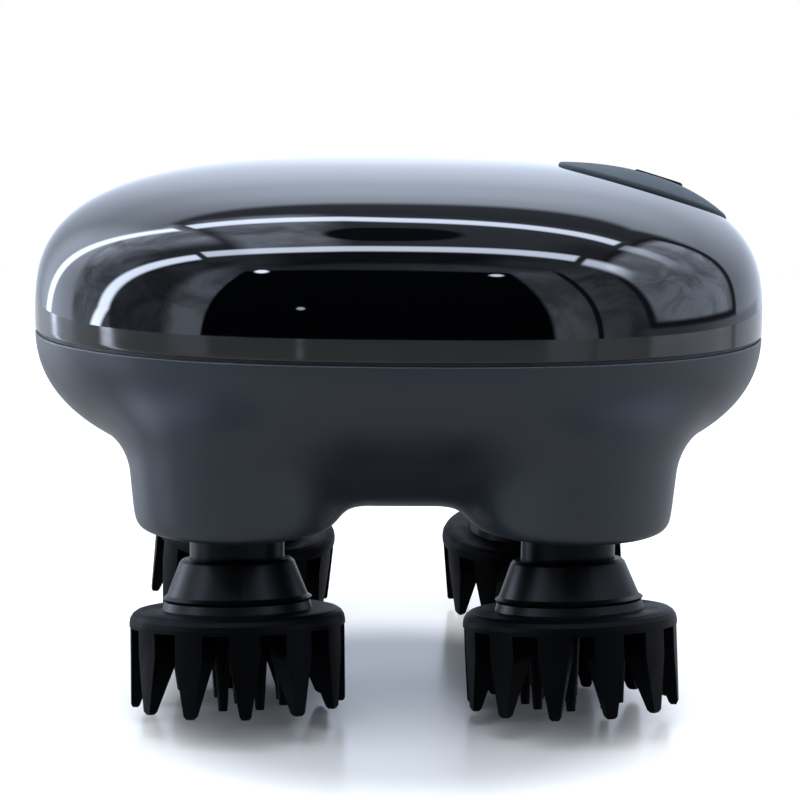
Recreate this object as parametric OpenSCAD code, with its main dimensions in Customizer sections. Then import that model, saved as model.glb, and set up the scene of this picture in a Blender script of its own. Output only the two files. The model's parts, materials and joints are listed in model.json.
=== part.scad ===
// Cordless scalp massager: a pebble-shaped housing on four short legs.
// A gear motor turns one central gear, which turns four head gears. Each head
// carries its finger pad skewed on its spindle, so the pad kneads as it turns.
// Z is up, X runs along the width, the control panel is at +X and the
// charging contacts are at +Y. The origin is on the table under the centre.

/* [Body] */
// Overall width of the housing
body_w = 121; // [116:0.5:150]
// Overall depth of the housing, front to rear
body_d = 101; // [96:0.5:130]
// Height of the crown above the widest line
crown_h = 26.8; // [25.5:0.1:36]
// Depth of the belly below the widest line
belly_drop = 26; // [24.5:0.1:32]
// How far the seam lies below the widest line
seam_drop = 0.8; // [0.5:0.1:3]
// Thickness of the housing walls
wall = 2.2; // [1.8:0.1:3]
// Roundness of the plan outline, 2 is an ellipse
plan_power = 2.4; // [2:0.1:3]
// Roundness of the crown in side view
crown_power = 3.1; // [2.6:0.1:3.6]
// Roundness of the belly in side view
belly_power = 2.4; // [2.2:0.1:2.8]
// Open height of the seam, filled by the gasket
seam_gap = 0.5; // [0.3:0.05:0.8]

/* [Legs] */
// Half the spacing of the leg axes along X
leg_dx = 26.1; // [24:0.1:29]
// How far the leg axes stand in from the front and the rear of the housing
leg_inset = 20.5; // [17.5:0.1:22]
// Radius of a leg near its foot
leg_r = 16.2; // [14.6:0.1:18]
// How far the legs reach below the belly
leg_drop = 3.2; // [2:0.1:6]
// Height of the straight part of a leg
leg_h = 14; // [10:0.1:18]
// Size of the soft blend between a leg and the belly
leg_blend = 9; // [5:0.5:10]
// Width of the flat pan under the belly, between the legs
pan_w = 48; // [40:1:54]
// Depth of the flat pan, front to rear
pan_d = 80; // [70:1:84]
// Half the height of the pan's rounded edge
pan_h = 8; // [6:0.5:10]

/* [Massage heads] */
// Angle between a pad's own axis and its spindle
head_skew = 9; // [0:0.5:12]
// Radius of a finger pad
pad_r = 16.9; // [15:0.1:18]
// Thickness of the pad's disc
pad_disc_h = 2.5; // [2:0.1:4]
// Radius of the pad's rounded top edge
pad_edge_r = 1.9; // [0.8:0.1:2]
// Length of the fingers below the disc
finger_l = 12.6; // [8:0.1:16]
// Fingers in the outer ring
outer_fingers = 12; // [8:1:13]
// Width of an outer finger at its root
finger_root_w = 4.6; // [3.5:0.1:5]
// Width of an outer finger at its tip
finger_tip_w = 1.7; // [1.2:0.1:2.4]
// Depth of an outer finger at its root, towards the pad's centre
finger_root_d = 5.4; // [3:0.1:6]
// Fingers in the inner ring
inner_fingers = 8; // [5:1:9]
// Radius of the circle of inner fingers
inner_ring_r = 7.4; // [6:0.1:8]
// Root diameter of an inner finger
inner_root_d = 3.2; // [2:0.1:3.4]
// Tip diameter of an inner finger
inner_tip_d = 1.4; // [1:0.1:2]
// Height of the conical core above the pad
core_h = 7.8; // [6:0.1:10]
// Radius of the core at its top
core_top_r = 9; // [8:0.1:10]
// Radius of the core at the pad
core_base_r = 11.8; // [11:0.1:13]
// Radius of the collar on the spindle
collar_r = 7.4; // [6.5:0.1:8]
// Height of the collar above the core
collar_h = 5.2; // [3.5:0.1:7]
// Gap between a collar and the face of its leg
face_gap = 0.6; // [0.4:0.1:1]
// Direction of the raised edge, front left head
phase_front_left = -84; // [-180:1:180]
// Direction of the raised edge, front right head
phase_front_right = -76; // [-180:1:180]
// Direction of the raised edge, rear left head
phase_rear_left = 127; // [-180:1:180]
// Direction of the raised edge, rear right head
phase_rear_right = 53; // [-180:1:180]

/* [Drive] */
// Teeth on the central gear
central_teeth = 60; // [48:4:60]
// Teeth on each head gear
head_teeth = 20; // [18:1:22]
// Face width of the gears
gear_h = 5; // [3.5:0.1:6]
// Backlash between meshing teeth
backlash = 0.16; // [0.1:0.01:0.3]
// Height of the gears above the inside of the belly
gear_rise = 5.8; // [5.4:0.1:6.5]
// Diameter of a head spindle
spindle_d = 5; // [4:0.1:5.5]
// Diameter of the central output shaft
shaft_d = 6; // [5:0.1:7]
// Diameter of the motor
motor_d = 24.4; // [20:0.1:26]
// Length of the motor
motor_l = 17; // [12:0.5:18]
// Diameter of the motor's gearbox
gearbox_d = 25.4; // [24:0.1:27]
// Length of the gearbox
gearbox_l = 12; // [8:0.5:13]
// Thickness of the gear chassis
plate_h = 2.5; // [2:0.1:3.5]

/* [Battery and board] */
// Diameter of the battery cell
cell_d = 18.3; // [14:0.1:18.5]
// Length of the battery cell
cell_l = 65; // [48:0.5:65]
// Length of the control board
board_l = 44; // [36:0.5:46]
// Width of the control board
board_w = 20; // [18:0.5:21]
// Thickness of the circuit boards
board_h = 1.2; // [1:0.1:1.6]

/* [Controls] */
// Distance of the control panel's centre from the middle
panel_x = 41; // [40:0.1:42]
// Length of the control panel down the shoulder
panel_l = 28; // [25:0.1:30]
// Width of the control panel across the shoulder
panel_w = 41; // [30:0.1:43]
// Thickness of the control panel
panel_h = 1.1; // [0.8:0.05:1.2]
// Diameter of the power button
button_d = 8.5; // [7:0.1:11]
// How far the button stands above the panel
button_proud = 0.5; // [0.3:0.05:0.9]
// Travel of the power button
button_travel = 0.7; // [0.4:0.05:0.9]

/* [Charging] */
// Width of the charging seat
seat_w = 25; // [22:0.5:30]
// Height of the charging seat
seat_h = 8; // [7:0.1:10]
// Spacing of the two contacts
contact_pitch = 7; // [6:0.1:8]
// Diameter of a contact
contact_d = 2.2; // [1.6:0.1:2.6]

/* [Fits and fasteners] */
// Radial running clearance of shafts in their bores
run_fit = 0.05; // [0.02:0.01:0.08]
// Clearance round parts that drop into place
slip_fit = 0.2; // [0.1:0.05:0.3]
// Thread diameter of the screws
screw_d = 3; // [2.5:0.1:3]
// Head diameter of the screws
screw_head_d = 5.4; // [5:0.1:5.6]
// Head height of the screws
screw_head_h = 1.8; // [1.4:0.1:2]

/* [Hidden] */
half_w = body_w / 2;
half_d = body_d / 2;
leg_dy = half_d - leg_inset;

// Heights, stacked up from the lowest fingertip on the table
head_l = core_h + pad_disc_h + finger_l;
tip_bevel = 0.4;
pivot_z = head_l * cos(head_skew) + (pad_r - tip_bevel) * sin(head_skew);
leg_face_z = pivot_z + collar_h + face_gap;
leg_land = 0.5;
leg_foot_z = leg_face_z - leg_land;
belly_z = leg_foot_z + leg_drop;
widest_z = belly_z + belly_drop;
seam_z = widest_z - seam_drop;
cover_rim_z = seam_z + seam_gap / 2;
lower_rim_z = seam_z - seam_gap / 2;
floor_z = belly_z + wall;
gear_z = floor_z + gear_rise;
plate_z = gear_z + gear_h + 2;
deck_z = plate_z + plate_h;

// Form of a leg: a rounded column, rooted inside the belly
leg_power = 7;
leg_cap = 9;
leg_flare = 0.08;

// Form of the belly's pan: rounded corners in plan, a flat underside
pan_plan_power = 4;
pan_power = 5;
pan_blend = 6;
leg_root_z = leg_foot_z + leg_h;

// Fineness of the housing's surface
around = 80;
rows_down = 20;
rows_up = 14;
row_crowding = 1.3;
halvings = 20;

// Gear train
head_reach = norm([leg_dx, leg_dy]);
gear_module = 2 * head_reach / (central_teeth + head_teeth);
pressure_angle = 20;
central_pitch_r = gear_module * central_teeth / 2;
head_pitch_r = gear_module * head_teeth / 2;
central_hub_r = 8;
hub_drop = 1.2;
head_hub_r = 5;

// Spindle bearings in the legs
seal_r = 7;
seal_h = 2.4;
bush_r = 4.6;
bush_flange_r = 6.6;
bush_flange_h = 1.2;
bush_z = leg_face_z + seal_h;
bush_top_z = gear_z - 0.6;
boss_wall = 2;

// Chassis posts and case screws
post_r = 3.5;
post_x = central_pitch_r + gear_module + post_r + 6;
post_y = central_pitch_r + gear_module + post_r + 2.4;
case_x = half_w - 11;
case_y = 15;
case_tube_r = 4.2;
case_screw_seat_z = seam_z - 5;
screw_grip = 8;

// Battery, board and motor on the deck
thrust_gap = 0.2;
gearbox_boss_r = 7;
gearbox_boss_h = 1;
shaft_depth = 5;
motor_screw_x = 9.6;
cell_y = gearbox_d / 2 + cell_d / 2 + 5.6;
cradle_floor = 1.6;
cell_z = deck_z + cradle_floor + cell_d / 2;
cradle_span = 44;
cradle_saddle = 8;
board_lift = 4;
board_y = -(gearbox_d / 2 + board_w / 2 + 4);
stud_r = 2;
pin_r = 0.9;

// Control panel and button
bond_gap = 0.05;
button_x = panel_x + 2.5;
button_r = button_d / 2;
button_flange_r = button_r + 1.1;
button_flange_z = -(wall + 1.1);
button_base_z = button_flange_z - 0.8;
stem_r = 1.6;
stem_z = button_base_z - 0.8;
plunger_z = stem_z - button_travel - 0.06;
switch_w = 6;
switch_z = plunger_z - 0.7;
switch_h = 3.4;
button_board_z = switch_z - switch_h;
button_board_w = 12;
button_board_l = 21;
button_stud_y = 8;

// Charging seat in the rear wall
charge_z = seam_z - 7.4;
seat_flange = 1.4;
seat_face = -0.9;
seat_flange_y = -(wall + 1.7);
seat_back_y = seat_flange_y - seat_flange - 1;
magnet_d = 4.6;
magnet_h = 3;
magnet_y = seat_face - 0.8 - magnet_h;
magnet_x = seat_w / 2 - 4;
seat_room = 0.6;

// Each head is [direction along X, direction along Y, direction of its raised edge]
FRONT_LEFT = [-1, -1, phase_front_left];
FRONT_RIGHT = [1, -1, phase_front_right];
REAR_LEFT = [-1, 1, phase_rear_left];
REAR_RIGHT = [1, 1, phase_rear_right];
HEADS = [FRONT_LEFT, FRONT_RIGHT, REAR_LEFT, REAR_RIGHT];

// ---------- The housing's surface ----------

// Length of [a, b] measured with a power, so a power above 2 squares the corners
function power_norm(a, b, p) = pow(pow(abs(a), p) + pow(abs(b), p), 1 / p);

// Distance of p outside the pebble, whose walls are set in by t
function pebble(p, t) =
    let (dz = p.z - widest_z,
         rise = (dz > 0 ? crown_h : belly_drop) - t,
         bend = dz > 0 ? crown_power : belly_power,
         q = power_norm(p.x / (half_w - t), p.y / (half_d - t), plan_power),
         g = power_norm(q, dz / rise, bend))
    norm([p.x, p.y, dz]) * (1 - 1 / max(g, 0.001));

// Distance of p outside the flat pan under the belly
function pan(p, t) =
    let (dz = p.z - belly_z - pan_h,
         q = power_norm(p.x / (pan_w / 2 - t), p.y / (pan_d / 2 - t), pan_plan_power),
         g = power_norm(q, dz / (pan_h - t), pan_power))
    norm([p.x, p.y, dz]) * (1 - 1 / max(g, 0.001));

// Distance of p outside the nearest leg, whose walls are set in by t
function leg(p, t) =
    let (rho = norm([abs(p.x) - leg_dx, abs(p.y) - leg_dy]),
         dz = p.z - leg_root_z,
         rise = (dz > 0 ? leg_cap : leg_h) - t,
         r = (leg_r - t) * (1 + leg_flare * (dz + leg_h) / leg_h),
         g = power_norm(rho / r, dz / rise, leg_power))
    norm([rho, dz]) * (1 - 1 / max(g, 0.001));

// The lesser of two distances, rounded over the width k where they are alike
function blend(a, b, k) =
    let (h = max(k - abs(a - b), 0) / k)
    min(a, b) - h * h * k / 4;

function outside(p, t) = blend(blend(pebble(p, t), pan(p, t), pan_blend), leg(p, t), leg_blend);

// Point where a ray from c along d meets the surface, found by halving an interval
function meet(c, d, t, near = 4, far = 90, n = halvings) =
    n == 0 ? c + d * near
    : let (mid = (near + far) / 2)
      outside(c + d * mid, t) > 0 ? meet(c, d, t, near, mid, n - 1) : meet(c, d, t, mid, far, n - 1);

// One ring of surface points at the elevation angle v, seen from c. The rings of inner walls
// are turned by part of a step, so that their corners lie between those of the outer wall.
function ring(c, v, t) =
    [for (i = [0 : around - 1])
        let (u = 360 * (i + (t > 0 ? 0.37 : 0)) / around)
        meet(c, [cos(u) * cos(v), sin(u) * cos(v), sin(v)], t)];

// A closed half of the housing: rim_z is its flat face and side is 1 for up, -1 for down.
// skirt carries the flat face past the rim, for a solid that is used as a cutter.
module half_shell(rim_z, side, rows, t, skirt) {
    c = [0, 0, rim_z];
    rim = ring(c, 0, t);
    rings = concat([[for (p = rim) p - [0, 0, side * skirt]]],
        [for (j = [1 : rows - 2]) ring(c, side * 90 * pow(j / (rows - 0.5), row_crowding), t)]);
    count = len(rings);
    pole = meet(c, [0, 0, side], t);
    points = concat([for (r = rings) for (p = r) p], [pole, c - [0, 0, side * skirt]]);
    faces = concat(
        [for (j = [0 : count - 2]) for (i = [0 : around - 1]) for (half = [0, 1])
            let (a = j * around + i, b = j * around + (i + 1) % around)
            half == 0 ? [a, b, b + around] : [a, b + around, a + around]],
        [for (i = [0 : around - 1])
            [(count - 1) * around + i, (count - 1) * around + (i + 1) % around, count * around]],
        [[for (i = [around - 1 : -1 : 0]) i]]);
    polyhedron(points = [for (k = [0 : count * around]) points[k]],
        faces = side > 0 ? [for (f = faces) [for (k = [len(f) - 1 : -1 : 0]) f[k]]] : faces);
}

// Height of the crown over a point of the plan
function crown_z(x, y) =
    let (q = power_norm(x / half_w, y / half_d, plan_power))
    widest_z + crown_h * pow(1 - pow(q, crown_power), 1 / crown_power);

// ---------- Shared pieces ----------

module at_head(head) {
    translate([head[0] * leg_dx, head[1] * leg_dy, 0]) children();
}

// The pad's own frame: origin where its axis crosses the spindle, raised edge at the phase
module skewed(head) {
    at_head(head) translate([0, 0, pivot_z]) rotate(head[2]) rotate([0, -head_skew, 0]) children();
}

module case_corners() {
    for (x = [-1, 1], y = [-1, 1]) translate([x * case_x, y * case_y, 0]) children();
}

// The charging face's own frame: Y points straight out of the rear wall
module at_charge() {
    c = [0, 0, charge_z];
    rear = meet(c, [0, 1, 0], 0);
    above = meet(c + [0, 0, 1], [0, 1, 0], 0);
    translate(rear) rotate([-atan(above.y - rear.y), 0, 0]) children();
}

module post_places() {
    for (x = [-1, 1]) translate([x * post_x, 0, 0]) children();
    for (y = [-1, 1]) translate([0, y * post_y, 0]) children();
}

module board_corners() {
    for (x = [-1, 1], y = [-1, 1])
        translate([x * (board_l / 2 - 2.5), board_y + y * (board_w / 2 - 2.5), 0]) children();
}

// A pan head screw pointing up from the seat of its head
module screw(length) {
    translate([0, 0, -screw_head_h]) difference() {
        cylinder(d = screw_head_d, h = screw_head_h, $fn = 48);
        translate([0, 0, -0.1]) cylinder(d = screw_head_d * 0.42, h = screw_head_h * 0.6, $fn = 6);
    }
    cylinder(d = screw_d, h = length, $fn = 48);
}

// Half the angle of a tooth at radius r
function tooth_half_angle(r, teeth, pitch_r) =
    let (base_r = pitch_r * cos(pressure_angle),
         a = acos(min(1, base_r / r)),
         roll = tan(pressure_angle) - tan(a))
    90 / teeth + roll * 180 / PI - pressure_angle + a - backlash / 4 / pitch_r * 180 / PI;

function polar(r, a) = [r * cos(a), r * sin(a)];

// Outline of an involute gear with a tooth centred on the X axis
function gear_outline(teeth) =
    let (pitch_r = gear_module * teeth / 2,
         tip_r = pitch_r + gear_module * 0.95,
         root_r = pitch_r - gear_module * 1.25,
         start_r = max(root_r, pitch_r * cos(pressure_angle)),
         radii = [for (k = [0 : 3]) start_r + (tip_r - start_r) * k / 3],
         root_a = tooth_half_angle(start_r, teeth, pitch_r))
    [for (i = [0 : teeth - 1])
        let (a = 360 * i / teeth)
        for (p = concat(
            [polar(root_r, a - root_a)],
            [for (r = radii) polar(r, a - tooth_half_angle(r, teeth, pitch_r))],
            [for (k = [3 : -1 : 0]) polar(radii[k], a + tooth_half_angle(radii[k], teeth, pitch_r))],
            [polar(root_r, a + root_a)])) p];

// Where a head gear's first tooth points, so that its gap meets the central gear's tooth
function mesh_turn(head) =
    let (b = atan2(head[1] * leg_dy, head[0] * leg_dx))
    b + 180 + b * central_teeth / head_teeth + 180 / head_teeth;

module along_y(d, length) {
    rotate([-90, 0, 0]) cylinder(d = d, h = length, $fn = 48);
}

module stadium(w, h, length) {
    for (x = [-1, 1]) translate([x * (w - h) / 2, 0, 0]) along_y(h, length);
    translate([-(w - h) / 2, 0, -h / 2]) cube([w - h, length, h]);
}

// ---------- Housing ----------

// A lens of the crown's surface over the panel's oval: from low to high above the surface
module crown_lens(l, w, low, high) {
    rings = 5;
    spokes = 40;
    function lens_point(k, i, up) =
        let (s = k / rings, a = 360 * i / spokes,
             x = panel_x + s * l / 2 * cos(a), y = s * w / 2 * sin(a))
        [x, y, crown_z(x, y) + up];
    side_count = rings * spokes;
    points = concat(
        [for (up = [low, high]) for (k = [1 : rings]) for (i = [0 : spokes - 1]) lens_point(k, i, up)],
        [for (up = [low, high]) lens_point(0, 0, up)]);
    faces = concat(
        [for (s = [0, 1]) for (k = [0 : rings - 2]) for (i = [0 : spokes - 1]) for (half = [0, 1])
            let (a = s * side_count + k * spokes + i, b = s * side_count + k * spokes + (i + 1) % spokes,
                 f = half == 0 ? [a, b, b + spokes] : [a, b + spokes, a + spokes])
            s == 0 ? f : [f[2], f[1], f[0]]],
        [for (s = [0, 1]) for (i = [0 : spokes - 1])
            let (a = s * side_count + i, b = s * side_count + (i + 1) % spokes, f = [2 * side_count + s, b, a])
            s == 0 ? f : [f[2], f[1], f[0]]],
        [for (i = [0 : spokes - 1]) for (half = [0, 1])
            let (a = side_count - spokes + i, b = side_count - spokes + (i + 1) % spokes)
            half == 0 ? [a, a + side_count, b] : [b, a + side_count, b + side_count]]);
    polyhedron(points = points, faces = faces);
}

module at_button() {
    tilt = atan(crown_z(button_x - 0.5, 0) - crown_z(button_x + 0.5, 0));
    translate([button_x, 0, crown_z(button_x, 0)]) rotate([0, tilt, 0]) children();
}

module button_studs() {
    at_button() for (y = [-1, 1]) translate([0, y * button_stud_y, button_board_z]) {
        cylinder(r = stud_r, h = -button_board_z, $fn = 48);
        translate([0, 0, -board_h - 0.4]) cylinder(r = pin_r, h = board_h + 0.5, $fn = 32);
    }
}

module top_cover() {
    color([0.03, 0.03, 0.04]) difference() {
        half_shell(cover_rim_z, 1, rows_up, 0, 0);
        difference() {
            half_shell(cover_rim_z, 1, rows_up, wall, 1);
            translate([0, 0, cover_rim_z]) case_corners() cylinder(r = case_tube_r, h = crown_h, $fn = 48);
            button_studs();
        }
        translate([0, 0, cover_rim_z - 1]) case_corners()
            cylinder(d = screw_d, h = screw_grip + 2, $fn = 32);
        crown_lens(panel_l + 2 * slip_fit, panel_w + 2 * slip_fit, -panel_h - bond_gap, 4);
        at_button() translate([0, 0, -8]) cylinder(r = button_r + slip_fit, h = 12, $fn = 48);
    }
}

module lower_housing() {
    color([0.22, 0.24, 0.27]) difference() {
        half_shell(lower_rim_z, -1, rows_down, 0, 0);
        difference() {
            half_shell(lower_rim_z, -1, rows_down, wall, 1);
            for (head = HEADS) at_head(head) {
                translate([0, 0, leg_foot_z]) cylinder(r = seal_r + boss_wall, h = seal_h + 2.6, $fn = 48);
                translate([0, 0, leg_foot_z])
                    cylinder(r = bush_r + boss_wall, h = bush_top_z - 1.8 - leg_foot_z, $fn = 48);
            }
            translate([0, 0, belly_z]) post_places() cylinder(r = post_r, h = plate_z - belly_z, $fn = 48);
            translate([0, 0, belly_z])
                cylinder(r = central_hub_r - 1, h = gear_z - hub_drop - thrust_gap - belly_z, $fn = 48);
            translate([0, 0, belly_z]) case_corners()
                cylinder(r = case_tube_r, h = lower_rim_z - belly_z, $fn = 48);
        }
        for (head = HEADS) at_head(head) {
            translate([0, 0, leg_foot_z - 2]) cylinder(r = seal_r, h = 2 + leg_land + seal_h, $fn = 48);
            translate([0, 0, leg_foot_z]) cylinder(r = bush_r, h = bush_top_z - leg_foot_z, $fn = 48);
            translate([0, 0, leg_foot_z - 2]) cylinder(r = leg_r - 5, h = 2 + leg_land, $fn = 48);
        }
        translate([0, 0, floor_z]) cylinder(d = shaft_d + 2 * run_fit, h = 10, $fn = 48);
        translate([0, 0, plate_z - screw_grip]) post_places() cylinder(d = screw_d, h = 20, $fn = 32);
        case_corners() {
            translate([0, 0, leg_foot_z]) cylinder(d = screw_head_d + 2 * slip_fit,
                h = case_screw_seat_z - leg_foot_z, $fn = 48);
            translate([0, 0, leg_foot_z]) cylinder(d = screw_d + 2 * slip_fit, h = 40, $fn = 32);
        }
        at_charge() translate([0, -8, 0]) stadium(seat_w + 2 * slip_fit, seat_h + 2 * slip_fit, 12);
    }
}

module seam_gasket() {
    c = [0, 0, seam_z];
    function flat_ring(t) = [for (p = ring(c, 0, t)) [p.x, p.y]];
    color([0.05, 0.05, 0.05]) translate([0, 0, lower_rim_z]) linear_extrude(height = seam_gap)
        difference() {
            polygon(flat_ring(0.45));
            polygon(flat_ring(wall - 0.35));
        }
}

module control_panel() {
    color([0.07, 0.07, 0.08]) difference() {
        crown_lens(panel_l, panel_w, -panel_h, 0);
        at_button() translate([0, 0, -8]) cylinder(r = button_r + slip_fit, h = 12, $fn = 48);
    }
}

module power_button() {
    color([0.04, 0.04, 0.05]) at_button() rotate_extrude($fn = 64) polygon([
        [0, stem_z], [stem_r, stem_z], [stem_r, button_base_z],
        [button_flange_r, button_base_z], [button_flange_r, button_flange_z],
        [button_r, button_flange_z], [button_r, button_proud - 0.35],
        [button_r - 0.35, button_proud], [button_r * 0.8, button_proud],
        [button_r * 0.62, button_proud - 0.22], [0, button_proud - 0.36]]);
}

module tact_switch() {
    color([0.15, 0.15, 0.16]) at_button() {
        translate([-switch_w / 2, -switch_w / 2, button_board_z]) cube([switch_w, switch_w, switch_h]);
        translate([0, 0, button_board_z]) cylinder(r = stem_r, h = plunger_z - button_board_z, $fn = 48);
    }
}

module button_board() {
    color([0.05, 0.3, 0.15]) at_button() difference() {
        translate([-button_board_w / 2, -button_board_l / 2, button_board_z - board_h])
            cube([button_board_w, button_board_l, board_h]);
        for (y = [-1, 1]) translate([0, y * button_stud_y, button_board_z - board_h - 1])
            cylinder(r = pin_r, h = board_h + 2, $fn = 32);
    }
}

// ---------- Drive ----------

module gear_chassis() {
    plate_w = 2 * (post_x + post_r + 0.4);
    plate_d = 2 * (post_y + post_r + 0.4);
    window_r = 6.4;
    notch_w = seat_w + 2 * (seat_flange + seat_room);
    notch_h = seat_h + 2 * (seat_flange + seat_room);
    color([0.75, 0.76, 0.78]) difference() {
        union() {
            translate([0, 0, plate_z]) linear_extrude(height = plate_h) polygon([
                for (i = [0 : 95])
                    let (a = 360 * i / 96, u = cos(a), v = sin(a), k = power_norm(u, v, plan_power))
                    [plate_w / 2 * u / k, plate_d / 2 * v / k]]);
            translate([0, 0, deck_z]) board_corners() cylinder(r = stud_r, h = board_lift, $fn = 32);
            translate([0, 0, deck_z + board_lift]) board_corners()
                cylinder(r = pin_r, h = board_h + 0.4, $fn = 32);
            for (x = [-1, 1]) translate([x * cradle_span / 2, cell_y - cell_d / 2 + 3, deck_z])
                cylinder(r = pin_r, h = cradle_floor, $fn = 32);
        }
        for (head = HEADS) at_head(head) translate([0, 0, plate_z - 1])
            cylinder(d = spindle_d + 2 * run_fit, h = plate_h + 2, $fn = 48);
        translate([0, 0, plate_z - 1]) post_places()
            cylinder(d = screw_d + 2 * slip_fit, h = plate_h + 2, $fn = 32);
        translate([0, 0, plate_z - 1]) cylinder(r = gearbox_boss_r + slip_fit, h = plate_h + 2, $fn = 48);
        for (x = [-1, 1]) translate([x * motor_screw_x, 0, plate_z - 1]) {
            cylinder(d = screw_d, h = plate_h + 2, $fn = 32);
            cylinder(d = screw_head_d + 2 * slip_fit, h = 1 + screw_head_h, $fn = 48);
        }
        for (x = [-1, 1], y = [-1, 1]) translate([x * (post_x - 14), y * 9, plate_z - 1])
            cylinder(r = window_r, h = plate_h + 2, $fn = 48);
        at_charge() translate([-notch_w / 2, seat_back_y - seat_room, -notch_h / 2])
            cube([notch_w, 20, notch_h]);
    }
}

module motor_gearbox() {
    color([0.7, 0.71, 0.73]) difference() {
        union() {
            translate([0, 0, deck_z]) cylinder(d = gearbox_d, h = gearbox_l, $fn = 64);
            translate([0, 0, deck_z - gearbox_boss_h]) cylinder(r = gearbox_boss_r, h = 3, $fn = 64);
        }
        translate([0, 0, deck_z - 2]) cylinder(d = shaft_d + 2 * run_fit, h = 2 + shaft_depth, $fn = 48);
        for (x = [-1, 1]) translate([x * motor_screw_x, 0, deck_z - 1])
            cylinder(d = screw_d, h = 1 + screw_grip - 2, $fn = 32);
    }
}

module drive_motor() {
    base_z = deck_z + gearbox_l;
    color([0.62, 0.63, 0.65]) {
        translate([0, 0, base_z]) cylinder(d = motor_d, h = motor_l - 1.4, $fn = 64);
        translate([0, 0, base_z + motor_l - 1.4]) cylinder(d = motor_d * 0.42, h = 1.4, $fn = 48);
        for (x = [-1, 1]) translate([x * motor_d * 0.34 - 0.3, -1.2, base_z + motor_l - 1.4])
            cube([0.6, 2.4, 2.2]);
    }
}

module output_shaft() {
    color([0.8, 0.8, 0.82]) translate([0, 0, floor_z + 0.3])
        cylinder(d = shaft_d, h = deck_z + shaft_depth - floor_z - 0.6, $fn = 48);
}

module central_gear() {
    web_r = central_pitch_r - 4.5;
    hole_r = (web_r - central_hub_r) / 2 - 2;
    color([0.93, 0.92, 0.86]) difference() {
        union() {
            translate([0, 0, gear_z]) linear_extrude(height = gear_h) polygon(gear_outline(central_teeth));
            translate([0, 0, gear_z - hub_drop]) cylinder(r = central_hub_r - 2, h = gear_h + 2, $fn = 64);
        }
        translate([0, 0, gear_z + gear_h - 1.3]) difference() {
            cylinder(r = web_r, h = 3, $fn = 64);
            translate([0, 0, -1]) cylinder(r = central_hub_r, h = 5, $fn = 64);
        }
        for (i = [0 : 5]) rotate(60 * i) translate([(web_r + central_hub_r) / 2, 0, gear_z - 1])
            cylinder(r = hole_r, h = gear_h + 2, $fn = 48);
        translate([0, 0, gear_z - 2]) cylinder(d = shaft_d, h = gear_h + 6, $fn = 48);
    }
}

// ---------- Battery and electronics ----------

module battery_cell() {
    can_l = cell_l - 2;
    color([0.1, 0.35, 0.6]) translate([-cell_l / 2, cell_y, cell_z]) rotate([0, 90, 0]) {
        cylinder(d = cell_d, h = can_l, $fn = 64);
        cylinder(d = cell_d * 0.45, h = cell_l, $fn = 48);
    }
}

module battery_cradle() {
    side = cell_d / 2 - 0.5;
    color([0.12, 0.12, 0.13]) difference() {
        union() {
            translate([-cradle_span / 2, cell_y - side, deck_z])
                cube([cradle_span, 2 * side - 5, cradle_floor]);
            for (x = [-1, 1]) translate([x * cradle_span / 2 - cradle_saddle / 2, cell_y - side, deck_z])
                cube([cradle_saddle, 2 * side, cradle_floor + cell_d * 0.32]);
        }
        translate([-cell_l / 2, cell_y, cell_z]) rotate([0, 90, 0])
            cylinder(d = cell_d + 2 * run_fit, h = cell_l, $fn = 64);
        for (x = [-1, 1]) translate([x * cradle_span / 2, cell_y - cell_d / 2 + 3, deck_z - 1])
            cylinder(r = pin_r, h = cradle_floor + 1.2, $fn = 32);
    }
}

module control_board() {
    top = deck_z + board_lift + board_h;
    color([0.05, 0.3, 0.15]) {
        difference() {
            translate([-board_l / 2, board_y - board_w / 2, deck_z + board_lift])
                cube([board_l, board_w, board_h]);
            translate([0, 0, deck_z]) board_corners() cylinder(r = pin_r, h = board_lift + 4, $fn = 32);
        }
        translate([-6, board_y - 3.5, top]) cube([7, 7, 1.2]);
        translate([6, board_y - 2.5, top]) cube([5, 4, 1.5]);
        translate([-15, board_y - 2, top]) cube([5.5, 7, 5]);
        translate([14.5, board_y, top]) cylinder(r = 2.6, h = 6, $fn = 32);
        translate([-3, board_y + board_w / 2 - 5, top]) cube([8, 4, 4.2]);
    }
}

module charge_seat() {
    rim = 2 * seat_flange;
    color([0.04, 0.04, 0.04]) at_charge() difference() {
        union() {
            translate([0, seat_back_y, 0]) stadium(seat_w, seat_h, seat_face - seat_back_y);
            translate([0, seat_flange_y - seat_flange, 0]) stadium(seat_w + rim, seat_h + rim, seat_flange);
        }
        for (x = [-1, 1]) {
            translate([x * contact_pitch / 2, seat_back_y - 1, 0]) along_y(contact_d, 10);
            translate([x * magnet_x, magnet_y - 8, 0]) along_y(magnet_d, 8 + magnet_h);
        }
    }
}

module charge_contacts() {
    color([0.85, 0.65, 0.25]) at_charge() for (x = [-1, 1]) translate([x * contact_pitch / 2, 0, 0]) {
        translate([0, seat_back_y - 2, 0]) along_y(contact_d, seat_face - seat_back_y + 2.2);
        translate([0, seat_back_y - 1, 0]) along_y(contact_d + 1.2, 1);
    }
}

module charge_magnets() {
    color([0.7, 0.7, 0.72]) at_charge() for (x = [-1, 1])
        translate([x * magnet_x, magnet_y, 0]) along_y(magnet_d, magnet_h);
}

module case_screws() {
    color([0.5, 0.5, 0.52]) translate([0, 0, case_screw_seat_z]) case_corners() screw(5 + screw_grip);
}

module chassis_screws() {
    color([0.5, 0.5, 0.52]) translate([0, 0, deck_z]) post_places() mirror([0, 0, 1])
        screw(plate_h + screw_grip - 1);
}

module motor_screws() {
    color([0.5, 0.5, 0.52]) for (x = [-1, 1]) translate([x * motor_screw_x, 0, plate_z + screw_head_h])
        screw(plate_h - screw_head_h + screw_grip - 3);
}

// ---------- Massage heads ----------

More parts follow.
